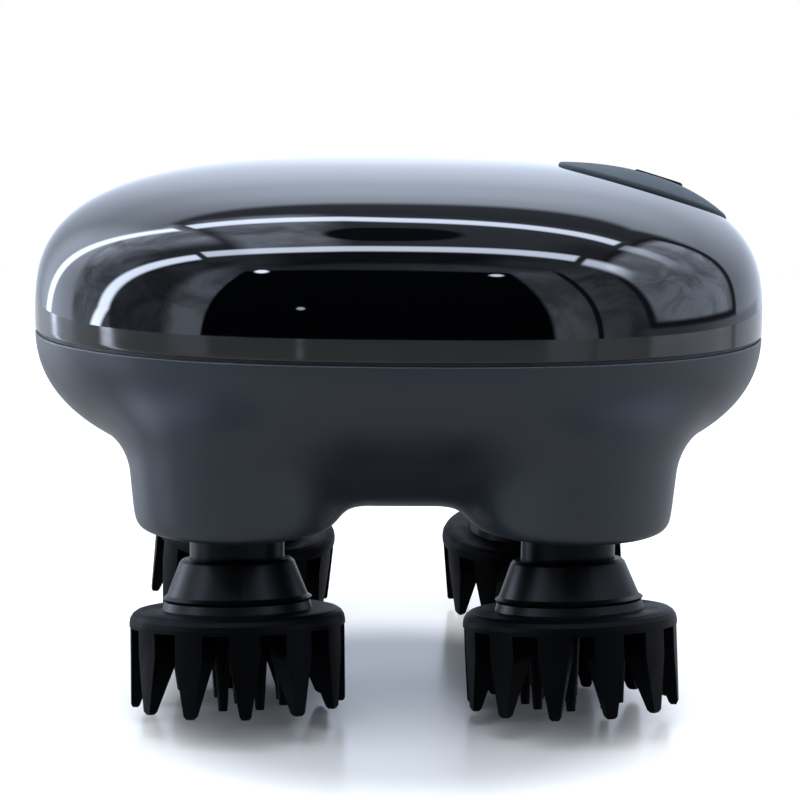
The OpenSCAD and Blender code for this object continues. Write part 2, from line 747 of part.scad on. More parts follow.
module head_gear(head) {
    color([0.9, 0.9, 0.85]) at_head(head) translate([0, 0, gear_z]) difference() {
        union() {
            linear_extrude(height = gear_h) rotate(mesh_turn(head)) polygon(gear_outline(head_teeth));
            cylinder(r = head_hub_r, h = gear_h + 1.4, $fn = 48);
        }
        translate([0, 0, -1]) cylinder(d = spindle_d, h = gear_h + 4, $fn = 48);
    }
}

module head_spindle(head) {
    bottom_z = pivot_z + 0.8;
    color([0.8, 0.8, 0.82]) at_head(head) translate([0, 0, bottom_z])
        cylinder(d = spindle_d, h = deck_z - bottom_z, $fn = 48);
}

module head_bush(head) {
    color([0.72, 0.55, 0.3]) at_head(head) translate([0, 0, bush_z]) difference() {
        union() {
            cylinder(r = bush_r, h = bush_top_z - bush_z, $fn = 48);
            translate([0, 0, 0.2 - bush_flange_h])
                cylinder(r = bush_flange_r, h = bush_flange_h - 0.2, $fn = 48);
        }
        translate([0, 0, -3]) cylinder(d = spindle_d + 2 * run_fit, h = bush_top_z - bush_z + 6, $fn = 48);
    }
}

module head_seal(head) {
    seal_top = seal_h - bush_flange_h + 0.1;
    bore_r = spindle_d / 2 + run_fit;
    color([0.06, 0.06, 0.06]) at_head(head) translate([0, 0, leg_face_z]) rotate_extrude($fn = 64) polygon([
        [bore_r, 0.5], [bore_r + 0.9, 0.1], [seal_r - 1.6, 0], [seal_r, 0.3], [seal_r, seal_top],
        [bore_r + 1.8, seal_top], [bore_r + 1.2, 0.9], [bore_r, 0.8]]);
}

module head_collar(head) {
    spigot_r = 4.6;
    spigot_h = 5.6;
    color([0.05, 0.05, 0.06]) difference() {
        union() {
            difference() {
                at_head(head) translate([0, 0, pivot_z - 2]) cylinder(r = collar_r, h = collar_h + 2, $fn = 64);
                skewed(head) translate([-20, -20, -20]) cube([40, 40, 20]);
            }
            skewed(head) translate([0, 0, -spigot_h]) cylinder(r = spigot_r, h = spigot_h + 0.6, $fn = 48);
        }
        at_head(head) translate([0, 0, pivot_z + 0.8]) cylinder(d = spindle_d, h = collar_h + 2, $fn = 48);
    }
}

module head_core(head) {
    spigot_r = 4.6;
    spigot_h = 5.8;
    bead = 0.5;
    bead_z = -core_h + 1.7;
    slope = (core_base_r - core_top_r) / core_h;
    color([0.05, 0.05, 0.06]) skewed(head) rotate_extrude($fn = 72) polygon([
        [spigot_r, 0], [core_top_r - 0.5, 0], [core_top_r, -0.5],
        [core_top_r - slope * (bead_z + 0.5), bead_z + 0.5],
        [core_top_r - slope * bead_z + bead, bead_z],
        [core_base_r - slope * 1.2, bead_z - 0.5], [core_base_r, -core_h], [core_base_r, -core_h - 1],
        [0, -core_h - 1], [0, -spigot_h], [spigot_r, -spigot_h]]);
}

// One outer finger: a slice of the pad's revolved rim, narrowed to its tip
module outer_finger() {
    base_z = -core_h - pad_disc_h;
    tip_z = -head_l;
    tip_d = 1.5;
    finger_step = 0.12;
    intersection() {
        rotate([0, 0, -20]) rotate_extrude(angle = 40, $fn = 90) polygon([
            [pad_r - finger_root_d, base_z + 0.6], [pad_r - finger_step, base_z + 0.6],
            [pad_r - finger_step, tip_z + 0.5], [pad_r - tip_bevel, tip_z], [pad_r - tip_d + 0.3, tip_z],
            [pad_r - tip_d, tip_z + 0.4], [pad_r - finger_root_d * 0.72, base_z - finger_l * 0.42],
            [pad_r - finger_root_d, base_z - finger_l * 0.12]]);
        rotate([90, 0, 90]) linear_extrude(height = pad_r + 2) polygon([
            [-finger_root_w / 2, base_z + 1], [-finger_root_w / 2, base_z - finger_l * 0.3],
            [-finger_tip_w / 2, tip_z + 0.4], [-finger_tip_w / 2 + 0.4, tip_z - 0.1],
            [finger_tip_w / 2 - 0.4, tip_z - 0.1], [finger_tip_w / 2, tip_z + 0.4],
            [finger_root_w / 2, base_z - finger_l * 0.3], [finger_root_w / 2, base_z + 1]]);
    }
}

module inner_finger() {
    translate([0, 0, -head_l])
        cylinder(d1 = inner_tip_d, d2 = inner_root_d, h = finger_l + 0.6, $fn = 32);
}

module head_pad(head) {
    top_z = -core_h;
    base_z = top_z - pad_disc_h;
    edge = [for (a = [0 : 22.5 : 90])
        [pad_r - pad_edge_r + pad_edge_r * cos(a), top_z - pad_edge_r + pad_edge_r * sin(a)]];
    color([0.05, 0.05, 0.05]) skewed(head) union() {
        rotate(180 / outer_fingers) rotate_extrude($fn = 90) polygon(concat(
            [[0, base_z], [pad_r, base_z]], edge,
            [[core_base_r + 0.02, top_z], [core_base_r + 0.02, top_z - 1], [0, top_z - 1]]));
        for (i = [0 : outer_fingers - 1]) rotate(180 + 360 * i / outer_fingers) outer_finger();
        for (i = [0 : inner_fingers - 1]) rotate(360 * (i + 0.5) / inner_fingers)
            translate([inner_ring_r, 0, 0]) inner_finger();
        inner_finger();
    }
}

module front_left_gear() { head_gear(FRONT_LEFT); }
module front_left_spindle() { head_spindle(FRONT_LEFT); }
module front_left_bush() { head_bush(FRONT_LEFT); }
module front_left_seal() { head_seal(FRONT_LEFT); }
module front_left_collar() { head_collar(FRONT_LEFT); }
module front_left_core() { head_core(FRONT_LEFT); }
module front_left_pad() { head_pad(FRONT_LEFT); }
module front_right_gear() { head_gear(FRONT_RIGHT); }
module front_right_spindle() { head_spindle(FRONT_RIGHT); }
module front_right_bush() { head_bush(FRONT_RIGHT); }
module front_right_seal() { head_seal(FRONT_RIGHT); }
module front_right_collar() { head_collar(FRONT_RIGHT); }
module front_right_core() { head_core(FRONT_RIGHT); }
module front_right_pad() { head_pad(FRONT_RIGHT); }
module rear_left_gear() { head_gear(REAR_LEFT); }
module rear_left_spindle() { head_spindle(REAR_LEFT); }
module rear_left_bush() { head_bush(REAR_LEFT); }
module rear_left_seal() { head_seal(REAR_LEFT); }
module rear_left_collar() { head_collar(REAR_LEFT); }
module rear_left_core() { head_core(REAR_LEFT); }
module rear_left_pad() { head_pad(REAR_LEFT); }
module rear_right_gear() { head_gear(REAR_RIGHT); }
module rear_right_spindle() { head_spindle(REAR_RIGHT); }
module rear_right_bush() { head_bush(REAR_RIGHT); }
module rear_right_seal() { head_seal(REAR_RIGHT); }
module rear_right_collar() { head_collar(REAR_RIGHT); }
module rear_right_core() { head_core(REAR_RIGHT); }
module rear_right_pad() { head_pad(REAR_RIGHT); }

top_cover();
lower_housing();
seam_gasket();
control_panel();
power_button();
tact_switch();
button_board();
gear_chassis();
drive_motor();
motor_gearbox();
output_shaft();
central_gear();
battery_cell();
battery_cradle();
control_board();
charge_seat();
charge_contacts();
charge_magnets();
case_screws();
chassis_screws();
motor_screws();
front_left_gear();
front_left_spindle();
front_left_bush();
front_left_seal();
front_left_collar();
front_left_core();
front_left_pad();
front_right_gear();
front_right_spindle();
front_right_bush();
front_right_seal();
front_right_collar();
front_right_core();
front_right_pad();
rear_left_gear();
rear_left_spindle();
rear_left_bush();
rear_left_seal();
rear_left_collar();
rear_left_core();
rear_left_pad();
rear_right_gear();
rear_right_spindle();
rear_right_bush();
rear_right_seal();
rear_right_collar();
rear_right_core();
rear_right_pad();
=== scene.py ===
"""Dresses the cordless scalp massager: smooth shells, panel, finishes, studio light and camera."""

import json
import logging
import math
from dataclasses import dataclass
from enum import Enum
from functools import reduce
from typing import Callable, Iterable, Sequence

import bpy
import numpy as np
from mathutils import Matrix, Vector


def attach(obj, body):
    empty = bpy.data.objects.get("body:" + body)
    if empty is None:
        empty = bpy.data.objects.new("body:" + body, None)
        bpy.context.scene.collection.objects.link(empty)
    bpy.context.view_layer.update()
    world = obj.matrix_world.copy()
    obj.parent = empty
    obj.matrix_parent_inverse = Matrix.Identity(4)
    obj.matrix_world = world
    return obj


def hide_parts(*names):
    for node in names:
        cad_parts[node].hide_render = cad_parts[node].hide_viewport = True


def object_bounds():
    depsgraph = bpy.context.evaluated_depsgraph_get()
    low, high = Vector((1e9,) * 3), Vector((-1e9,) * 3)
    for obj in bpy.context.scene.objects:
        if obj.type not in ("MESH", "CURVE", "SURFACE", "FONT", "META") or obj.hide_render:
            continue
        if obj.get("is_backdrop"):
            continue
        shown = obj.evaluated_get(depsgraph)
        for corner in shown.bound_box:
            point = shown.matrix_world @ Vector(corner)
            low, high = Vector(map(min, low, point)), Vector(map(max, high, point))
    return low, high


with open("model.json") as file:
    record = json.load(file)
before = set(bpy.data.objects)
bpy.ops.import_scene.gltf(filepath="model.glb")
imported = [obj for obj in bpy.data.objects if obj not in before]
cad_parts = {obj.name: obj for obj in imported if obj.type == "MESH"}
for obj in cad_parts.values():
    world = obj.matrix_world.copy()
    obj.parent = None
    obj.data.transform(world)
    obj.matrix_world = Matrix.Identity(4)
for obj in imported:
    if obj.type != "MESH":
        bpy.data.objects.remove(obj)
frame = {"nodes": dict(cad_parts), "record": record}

logging.basicConfig(level=logging.INFO, format="%(message)s")
LOG = logging.getLogger("massager")
CAD_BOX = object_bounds()
MM = 0.001
TAU = 2 * math.pi
Array = np.ndarray
Object = bpy.types.Object
Material = bpy.types.Material
Socket = bpy.types.NodeSocket
Tree = bpy.types.NodeTree
Pair = tuple[float, float]
Triple = tuple[float, float, float]
ROLL = np.linspace(0, math.pi / 2, 7)
LIP_ARC = np.linspace(0.3, 1.5, 4)
HALVINGS = 34
WHITE = (1.0, 1.0, 1.0, 1.0)
DUST_COLOR = (0.3, 0.3, 0.31, 1.0)


class Head(Enum):
    """The four finger heads, each by the side it is on along X and along Y."""

    FRONT_LEFT = (-1, -1)
    FRONT_RIGHT = (1, -1)
    REAR_LEFT = (-1, 1)
    REAR_RIGHT = (1, 1)


def placed(name: str, data: bpy.types.ID) -> Object:
    """A new object with the given data, linked to the scene.

    Args:
        name: the object's name.
        data: its mesh, camera or lamp.

    Returns:
        The object.
    """
    made = bpy.data.objects.new(name, data)
    bpy.context.scene.collection.objects.link(made)
    return made


# ---------- Meshes ----------


def mesh_object(name: str, points: Array, faces: Sequence[Sequence[int]], sharp: float = 40.0) -> Object:
    """Puts points and faces into a new smooth-shaded object at the origin.

    Args:
        name: the object's name.
        points: n by 3 array in millimetres.
        faces: rows of point numbers, quads, triangles or longer.
        sharp: edges that turn more than this angle in degrees stay sharp.

    Returns:
        The linked object.
    """
    mesh = bpy.data.meshes.new(name)
    mesh.from_pydata((points * MM).tolist(), [], [list(map(int, f)) for f in faces])
    mesh.validate()
    mesh.shade_smooth()
    mesh.set_sharp_from_angle(angle=math.radians(sharp))
    return placed(name, mesh)


def grid_faces(rows: int, cols: int, wrap_rows: bool = False, flip: bool = False, start: int = 0) -> Array:
    """Quads of a grid whose columns close into rings.

    Args:
        rows: rings of points.
        cols: points in a ring.
        wrap_rows: also join the last ring to the first.
        flip: turns the faces over.
        start: number of the grid's first point.

    Returns:
        An array of quads.
    """
    r = np.arange(rows if wrap_rows else rows - 1)
    i, j = np.meshgrid(r, np.arange(cols), indexing="ij")
    k, l = (i + 1) % rows, (j + 1) % cols
    quads = np.stack([i * cols + j, i * cols + l, k * cols + l, k * cols + j], -1).reshape(-1, 4) + start
    return quads[:, ::-1] if flip else quads


def ring_solid(
    name: str, rings: Sequence[Array], closed: bool, flip: bool = False, sharp: float = 40.0
) -> Object:
    """A solid whose skin is a stack of rings with equal counts of points.

    Args:
        name: the object's name.
        rings: arrays of n by 3 points, one after another along the skin.
        closed: joins the last ring to the first, as on a body with a hole; otherwise both ends get caps.
        flip: turns the faces over.
        sharp: edges that turn more than this angle stay sharp.

    Returns:
        The object.
    """
    cols = len(rings[0])
    points = np.concatenate(rings)
    faces = [list(q) for q in grid_faces(len(rings), cols, closed, flip)]
    if not closed:
        first, last = np.arange(cols), (len(rings) - 1) * cols + np.arange(cols)
        faces += [list(first if flip else first[::-1]), list(last[::-1] if flip else last)]
    return mesh_object(name, points, faces, sharp)


def revolved(profile: Sequence[Pair], cols: int, at: Pair) -> list[Array]:
    """Rings of a profile turned about a vertical axis: x = at + r cos a, y = at + r sin a, z = height.

    Args:
        profile: (radius, height) pairs.
        cols: points round the axis.
        at: place of the axis.

    Returns:
        One ring for each pair.
    """
    a = np.arange(cols) * TAU / cols
    return [np.stack([at[0] + r * np.cos(a), at[1] + r * np.sin(a), np.full(cols, z)], 1) for r, z in profile]


def rolled_lip(foot: Array, out: Array, lip: float, up: float) -> list[Array]:
    """Rings of a quarter round at a shell's rim: in by lip (1 - sin a), up or down by lip (1 - cos a).

    Args:
        foot: the rim's points.
        out: directions out of the rim, level.
        lip: radius of the round.
        up: 1 for a shell above its rim, -1 for one below.

    Returns:
        The rings, from the rim's flat face to the outside.
    """
    arc = [foot - out * lip * (1 - math.sin(a)) + [0, 0, up * lip * (1 - math.cos(a))] for a in LIP_ARC]
    return [foot - out * lip] + arc


def joined(name: str, parts: Sequence[Object]) -> Object:
    """Joins objects into the first one and names it.

    Args:
        name: name of the result.
        parts: the objects to join.

    Returns:
        The one object.
    """
    chosen = list(parts)
    with bpy.context.temp_override(
        active_object=chosen[0], selected_editable_objects=chosen, selected_objects=chosen
    ):
        bpy.ops.object.join()
    chosen[0].name = chosen[0].data.name = name
    return chosen[0]


def applied(piece: Object) -> Object:
    """Replaces a piece's mesh by what its modifiers give, and drops them.

    Args:
        piece: the object.

    Returns:
        The same object.
    """
    graph = bpy.context.evaluated_depsgraph_get()
    mesh = bpy.data.meshes.new_from_object(piece.evaluated_get(graph), depsgraph=graph)
    piece.modifiers.clear()
    piece.data = mesh
    return piece


def carved(piece: Object, cutter: Object, sharp: float = 32.0) -> Object:
    """Takes a cutter out of a piece and removes the cutter.

    Args:
        piece: the object to cut.
        cutter: the object that holds the holes.
        sharp: edges that turn more than this angle in degrees stay sharp.

    Returns:
        The piece.
    """
    cut = piece.modifiers.new("carve", "BOOLEAN")
    cut.operation, cut.solver, cut.object = "DIFFERENCE", "EXACT", cutter
    applied(piece)
    bpy.data.objects.remove(cutter)
    piece.data.shade_smooth()
    piece.data.set_sharp_from_angle(angle=math.radians(sharp))
    return piece


# ---------- The housing's form ----------


def norm(a: Array, b: Array, n: float | Array) -> Array:
    """The power norm of two numbers: (|a|^n + |b|^n)^(1/n)."""
    return (np.abs(a) ** n + np.abs(b) ** n) ** (1 / n)


def past(reach: Array, g: Array) -> Array:
    """How far a point lies outside a form whose size it has g times: its distance times (1 - 1/g)."""
    return reach * (1 - 1 / np.maximum(g, 1e-3))


@dataclass(frozen=True)
class Form:
    """The rounded body and its legs, in millimetres, as one rule for both shells."""

    half_w: float = 60.5
    half_d: float = 50.5
    crown_h: float = 26.8
    belly_drop: float = 26.0
    seam_drop: float = 0.8
    wall: float = 2.2
    plan_power: float = 2.4
    crown_power: float = 3.1
    belly_power: float = 2.4
    seam_gap: float = 0.5
    leg_dx: float = 26.1
    leg_dy: float = 30.0
    leg_r: float = 15.8
    leg_drop: float = 3.2
    leg_h: float = 14.0
    leg_cap: float = 9.0
    leg_foot_power: float = 16.0
    leg_cap_power: float = 3.0
    leg_flare: float = 0.08
    leg_blend: float = 6.5
    pan_w: float = 52.0
    pan_d: float = 71.0
    pan_h: float = 11.0
    pan_lift: float = 0.3
    pan_power: float = 2.8
    pan_plan_power: float = 4.0
    pan_blend: float = 5.0
    leg_land: float = 0.5
    head_l: float = 22.9
    skew: float = 9.0
    tip_r: float = 16.5
    collar_h: float = 5.2
    face_gap: float = 0.6
    nearest: float = 4.0
    farthest: float = 92.0

    @property
    def pivot_z(self) -> float:
        """Height at which a pad's own axis crosses its spindle."""
        a = math.radians(self.skew)
        return self.head_l * math.cos(a) + self.tip_r * math.sin(a)

    @property
    def leg_face_z(self) -> float:
        """Height of the flat face under a leg."""
        return self.pivot_z + self.collar_h + self.face_gap

    @property
    def leg_foot_z(self) -> float:
        """Lowest point of a leg."""
        return self.leg_face_z - self.leg_land

    @property
    def widest_z(self) -> float:
        """Height of the widest line."""
        return self.leg_foot_z + self.leg_drop + self.belly_drop

    @property
    def seam_z(self) -> float:
        """Height of the seam."""
        return self.widest_z - self.seam_drop

    def pebble(self, p: Array, t: float) -> Array:
        """Distance outside the pebble set in by t: power norms of p over its half sizes.

        Args:
            p: points, 3 last.
            t: how far the pebble is set in.

        Returns:
            A distance for each point.
        """
        dz = p[..., 2] - self.widest_z
        up = dz > 0
        rise = np.where(up, self.crown_h, self.belly_drop) - t
        bend = np.where(up, self.crown_power, self.belly_power)
        q = norm(p[..., 0] / (self.half_w - t), p[..., 1] / (self.half_d - t), self.plan_power)
        return past(np.sqrt(p[..., 0] ** 2 + p[..., 1] ** 2 + dz**2), norm(q, dz / rise, bend))

    def leg(self, p: Array, t: float) -> Array:
        """Distance outside the nearest leg: the same rule for a round column that widens upwards.

        Args:
            p: points, 3 last.
            t: how far the leg is set in.

        Returns:
            A distance for each point.
        """
        rho = np.hypot(np.abs(p[..., 0]) - self.leg_dx, np.abs(p[..., 1]) - self.leg_dy)
        dz = p[..., 2] - self.leg_foot_z - self.leg_h
        rise = np.where(dz > 0, self.leg_cap, self.leg_h) - t
        r = (self.leg_r - t) * (1 + self.leg_flare * (dz + self.leg_h) / self.leg_h)
        n = np.where(dz > 0, self.leg_cap_power, self.leg_foot_power)
        return past(np.hypot(rho, dz), norm(rho / r, dz / rise, n))

    def pan(self, p: Array, t: float) -> Array:
        """Distance outside the pan under the belly: the same rule for a squarish cushion.

        Args:
            p: points, 3 last.
            t: how far the pan is set in.

        Returns:
            A distance for each point.
        """
        dz = p[..., 2] - self.leg_foot_z - self.pan_lift - self.pan_h
        q = norm(p[..., 0] / (self.pan_w / 2 - t), p[..., 1] / (self.pan_d / 2 - t), self.pan_plan_power)
        reach = np.sqrt(p[..., 0] ** 2 + p[..., 1] ** 2 + dz**2)
        return past(reach, norm(q, dz / (self.pan_h - t), self.pan_power))

    def outside(self, p: Array, t: float = 0.0) -> Array:
        """Distance outside the whole body: the least of the three, less h squared k / 4 where two are alike.

        Args:
            p: points, 3 last.
            t: how far the surface is set in.

        Returns:
            A distance for each point, below 0 inside.
        """
        body = self.pebble(p, t)
        for other, k in ((self.pan(p, t), self.pan_blend), (self.leg(p, t), self.leg_blend)):
            h = np.maximum(k - np.abs(body - other), 0) / k
            body = np.minimum(body, other) - h * h * k / 4
        return body

    def meet(self, centre: Sequence[float], way: Array, t: float = 0.0) -> Array:
        """Points where rays from a centre meet the surface, by halving an interval.

        Args:
            centre: start of the rays.
            way: directions, any shape with 3 last.
            t: how far the surface is set in.

        Returns:
            Points of the same shape as way.
        """
        c = np.asarray(centre, float)
        way = way / np.linalg.norm(way, axis=-1, keepdims=True)
        near, far = np.full(way.shape[:-1], self.nearest), np.full(way.shape[:-1], self.farthest)
        for _ in range(HALVINGS):
            mid = (near + far) / 2
            out = self.outside(c + way * mid[..., None], t) > 0
            far, near = np.where(out, mid, far), np.where(out, near, mid)
        return c + way * near[..., None]

    def crown(self, x: Array, y: Array) -> Array:
        """Height of the crown over the plan: widest line + crown height times (1 - q^m)^(1/m)."""
        q = norm(x / self.half_w, y / self.half_d, self.plan_power)
        return self.widest_z + self.crown_h * (1 - q**self.crown_power) ** (1 / self.crown_power)


FORM = Form()


def slerp(a: Array, b: Array, s: Array) -> Array:
    """Directions between a and b: sin((1 - s) w) a + sin(s w) b, over sin w, w being the angle between them.

    Args:
        a: unit vectors at share 0.
        b: unit vectors at share 1.
        s: shares from 0 to 1.

    Returns:
        One ring of unit vectors for each share.
    """
    w = np.arccos(np.clip((a * b).sum(-1, keepdims=True), -1, 1))
    s = s[:, None, None]
    return (np.sin((1 - s) * w) * a + np.sin(s * w) * b) / np.sin(w)


def unit(v: Array) -> Array:
    """Vectors scaled to length 1."""
    return v / np.linalg.norm(v, axis=-1, keepdims=True)


# ---------- Finishes ----------


class Nodes:
    """A short way to lay out shader nodes in one tree."""

    def __init__(self, tree: Tree) -> None:
        """Takes the tree and empties it."""
        self.tree = tree
        tree.nodes.clear()

    def add(self, kind: str, **values: object) -> bpy.types.Node:
        """Adds a node.

        Args:
            kind: the node's class name without ShaderNode.
            **values: sockets by name (spaces as _) get a value or a link, other names are properties.

        Returns:
            The node.
        """
        node = self.tree.nodes.new(kind if kind.startswith("Node") else "ShaderNode" + kind)
        for key, value in values.items():
            if hasattr(node, key):
                setattr(node, key, value)
        for key in [key for key in values if not hasattr(node, key)]:
            name, value = key.replace("_", " "), values[key]
            index = int(name[2:]) if name.startswith("in") and name[2:].isdigit() else name
            if isinstance(value, Socket):
                self.tree.links.new(value, node.inputs[index])
            else:
                node.inputs[index].default_value = value
        return node

    def math(self, operation: str, a: object, b: object = 0.0, c: object = 0.0) -> Socket:
        """A Math node's result."""
        return self.add("Math", operation=operation, in0=a, in1=b, in2=c).outputs[0]

    def fade(
        self, value: object, low: float, high: float, to_low: float = 0.0, to_high: float = 1.0
    ) -> Socket:
        """A value carried smoothly from one range to another.

        Args:
            value: what is carried over.
            low: start of its range.
            high: end of its range.
            to_low: result at the start.
            to_high: result at the end.

        Returns:
            The result.
        """
        node = self.add("MapRange", interpolation_type="SMOOTHSTEP", Value=value)
        for index, number in enumerate((low, high, to_low, to_high), 1):
            node.inputs[index].default_value = number
        return node.outputs[0]

    def rise(self, value: object, at: float, soft: float) -> Socket:
        """0 below a place, 1 above it, with a soft step."""
        return self.fade(value, at - soft, at + soft)

    def fall(self, value: object, at: float, soft: float) -> Socket:
        """1 below a place, 0 above it, with a soft step."""
        return self.fade(value, at - soft, at + soft, 1.0, 0.0)

    def band(self, value: object, half: float, soft: float) -> Socket:
        """1 where a value is within half of zero."""
        return self.fall(self.math("ABSOLUTE", value), half, soft)

    def plus(self, *terms: object) -> object:
        """The sum of sockets and numbers."""
        return reduce(lambda a, b: self.math("ADD", a, b), terms)

    def times(self, *terms: object) -> object:
        """The product of sockets and numbers."""
        return reduce(lambda a, b: self.math("MULTIPLY", a, b), terms)

    def less(self, a: object, b: object) -> Socket:
        """One value less another."""
        return self.math("SUBTRACT", a, b)

    def line(self, value: object, slope: float, base: float) -> Socket:
        """A value times a slope, plus a base."""
        return self.math("MULTIPLY_ADD", value, slope, base)

    def above(self, value: object, least: float = 0.0) -> Socket:
        """A value, or the least that it may be."""
        return self.math("MAXIMUM", value, least)

    def over(self, below: object, mask: object, level: object) -> Socket:
        """A level laid over another where a mask is 1."""
        return self.add("Mix", data_type="FLOAT", in0=mask, in2=below, in3=level).outputs[0]

    def layers(self, level: object, *masks: tuple[object, object]) -> Socket:
        """A level with others laid over it in turn, each given as (mask, level)."""
        return reduce(lambda below, row: self.over(below, *row), masks, level)

    def tint(self, below: object, mask: object, color: object) -> Socket:
        """A colour laid over another where a mask is 1."""
        return self.add("Mix", data_type="RGBA", in0=mask, in6=below, in7=color).outputs[2]

    def surface(self, **values: object) -> bpy.types.Node:
        """A Principled BSDF that goes to the material's output.

        Args:
            **values: the shader's sockets by name.

        Returns:
            The shader.
        """
        shader = self.add("BsdfPrincipled", **values)
        self.add("OutputMaterial", Surface=shader.outputs[0])
        return shader

    def noise(self, place: Socket, scale: object, detail: float, **more: float) -> Socket:
        """A Noise Texture's value at a place."""
        return self.add("TexNoise", Vector=place, Scale=scale, Detail=detail, **more).outputs[0]

    def place(self) -> Socket:
        """Object coordinates."""
        return self.add("TexCoord").outputs["Object"]

    def apart(self, one: Socket, other: Triple) -> Socket:
        """The distance between a vector and a fixed place."""
        return self.add("VectorMath", operation="DISTANCE", in0=one, in1=other).outputs["Value"]


def make_group(
    name: str, inputs: Sequence[tuple[str, float]], outputs: Sequence[str]
) -> tuple[Tree, Nodes, Sequence[Socket], bpy.types.Node]:
    """An empty node group with float sockets.

    Args:
        name: the group's name.
        inputs: names and starting values of what goes in.
        outputs: names of what comes out.

    Returns:
        The tree, its nodes, its incoming sockets and its output node.
    """
    tree = bpy.data.node_groups.new(name, "ShaderNodeTree")
    for label, value in inputs:
        socket = tree.interface.new_socket(label, in_out="INPUT", socket_type="NodeSocketFloat")
        socket.default_value = value
    for label in outputs:
        tree.interface.new_socket(label, in_out="OUTPUT", socket_type="NodeSocketFloat")
    n = Nodes(tree)
    return tree, n, n.add("NodeGroupInput").outputs, n.add("NodeGroupOutput")


def moulding_group() -> Tree:
    """Moulded texture: fine grain for bump, a broad mottle and a cloudy smudge mask.

    Returns:
        The group's tree.
    """
    tree, n, ins, out = make_group(
        "moulding",
        [("Grain Scale", 4000.0), ("Mottle Scale", 60.0), ("Grain Mix", 0.5)],
        ["Grain", "Mottle", "Smudge"],
    )
    place, scale = n.place(), ins["Grain Scale"]
    fine = n.noise(place, scale, 2.0, Roughness=0.6)
    pits = n.add("TexVoronoi", Vector=place, Scale=scale, feature="SMOOTH_F1").outputs["Distance"]
    mottle = n.noise(place, ins["Mottle Scale"], 4.0, Roughness=0.55, Distortion=0.3)
    cloud = n.noise(place, n.times(ins["Mottle Scale"], 0.45), 5.0, Roughness=0.62, Distortion=1.4)
    tree.links.new(n.over(fine, ins["Grain Mix"], pits), out.inputs["Grain"])
    tree.links.new(mottle, out.inputs["Mottle"])
    tree.links.new(n.fade(cloud, 0.5, 0.72), out.inputs["Smudge"])
    return tree


def dust_group() -> Tree:
    """Specks of dust that gather on faces that look up: sparse dots times how far the normal points up.

    Returns:
        The group's tree.
    """
    tree, n, ins, out = make_group("dust", [("Speck Scale", 900.0), ("Amount", 0.3)], ["Dust"])
    place = n.place()
    specks = n.add("TexVoronoi", Vector=place, Scale=ins["Speck Scale"]).outputs["Distance"]
    patch = n.fade(n.noise(place, 70.0, 3.0), 0.48, 0.7)
    up = n.fade(n.add("SeparateXYZ", Vector=n.add("NewGeometry").outputs["Normal"]).outputs[2], 0.0, 1.0)
    dust = n.times(n.times(n.fade(specks, 0.05, 0.16, 1.0, 0.0), patch), n.times(up, ins["Amount"]))
    tree.links.new(dust, out.inputs["Dust"])
    return tree


def turning_group() -> Tree:
    """Turned or drawn lines on metal: noise squeezed along Z and stretched across it.

    Returns:
        The group's tree.
    """
    tree, n, ins, out = make_group("turning", [("Line Scale", 2600.0), ("Stretch", 0.03)], ["Lines"])
    x, y, z = n.add("SeparateXYZ", Vector=n.place()).outputs
    stretch = ins["Stretch"]
    spot = n.add("CombineXYZ", X=n.times(x, stretch), Y=n.times(y, stretch), Z=z).outputs[0]
    tree.links.new(n.noise(spot, ins["Line Scale"], 3.0, Roughness=0.7), out.inputs["Lines"])
    return tree


def new_material(name: str) -> tuple[Material, Nodes]:
    """An empty material and its nodes.

    Args:
        name: the material's name.

    Returns:
        The material and its nodes.
    """
    made = bpy.data.materials.new(name)
    made.use_nodes = True
    return made, Nodes(made.node_tree)


MOULDING = moulding_group()
DUST = dust_group()
TURNING = turning_group()


@dataclass(frozen=True)
class Plastic:
    """A moulded plastic or rubber finish: two close colours, a roughness range and a grain."""

    name: str
    color: Triple
    rough: Pair = (0.35, 0.5)
    tint: float = 0.15
    grain_scale: float = 4000.0
    grain_mix: float = 0.5
    grain_depth: float = 2e-5
    grain_strength: float = 0.25
    mottle_scale: float = 60.0
    dust: float = 0.0
    ior: float = 1.46
    specular: float = 0.5

    def material(self) -> Material:
        """Builds the material.

        Returns:
            A material whose colour mottles, whose roughness follows smudges and whose grain bumps the normal.
        """
        made, n = new_material(self.name)
        scales = {"Grain_Scale": self.grain_scale, "Mottle_Scale": self.mottle_scale}
        body = n.add("Group", node_tree=MOULDING, Grain_Mix=self.grain_mix, **scales).outputs
        dark, light = (tuple(c * (1 + sign * self.tint) for c in self.color) + (1.0,) for sign in (-1, 1))
        color = n.tint(dark, body["Mottle"], light)
        rough = n.fade(body["Smudge"], 0.0, 1.0, *self.rough)
        if self.dust > 0:
            dust = n.add("Group", node_tree=DUST, Amount=self.dust).outputs[0]
            color = n.tint(color, dust, DUST_COLOR)
            rough = n.math("MINIMUM", n.plus(rough, n.times(dust, 0.5)), 1.0)
        bump = n.add("Bump", Strength=self.grain_strength, Distance=self.grain_depth, Height=body["Grain"])
        n.surface(
            Base_Color=color,
            Roughness=rough,
            Normal=bump.outputs[0],
            IOR=self.ior,
            Specular_IOR_Level=self.specular,
        )
        return made


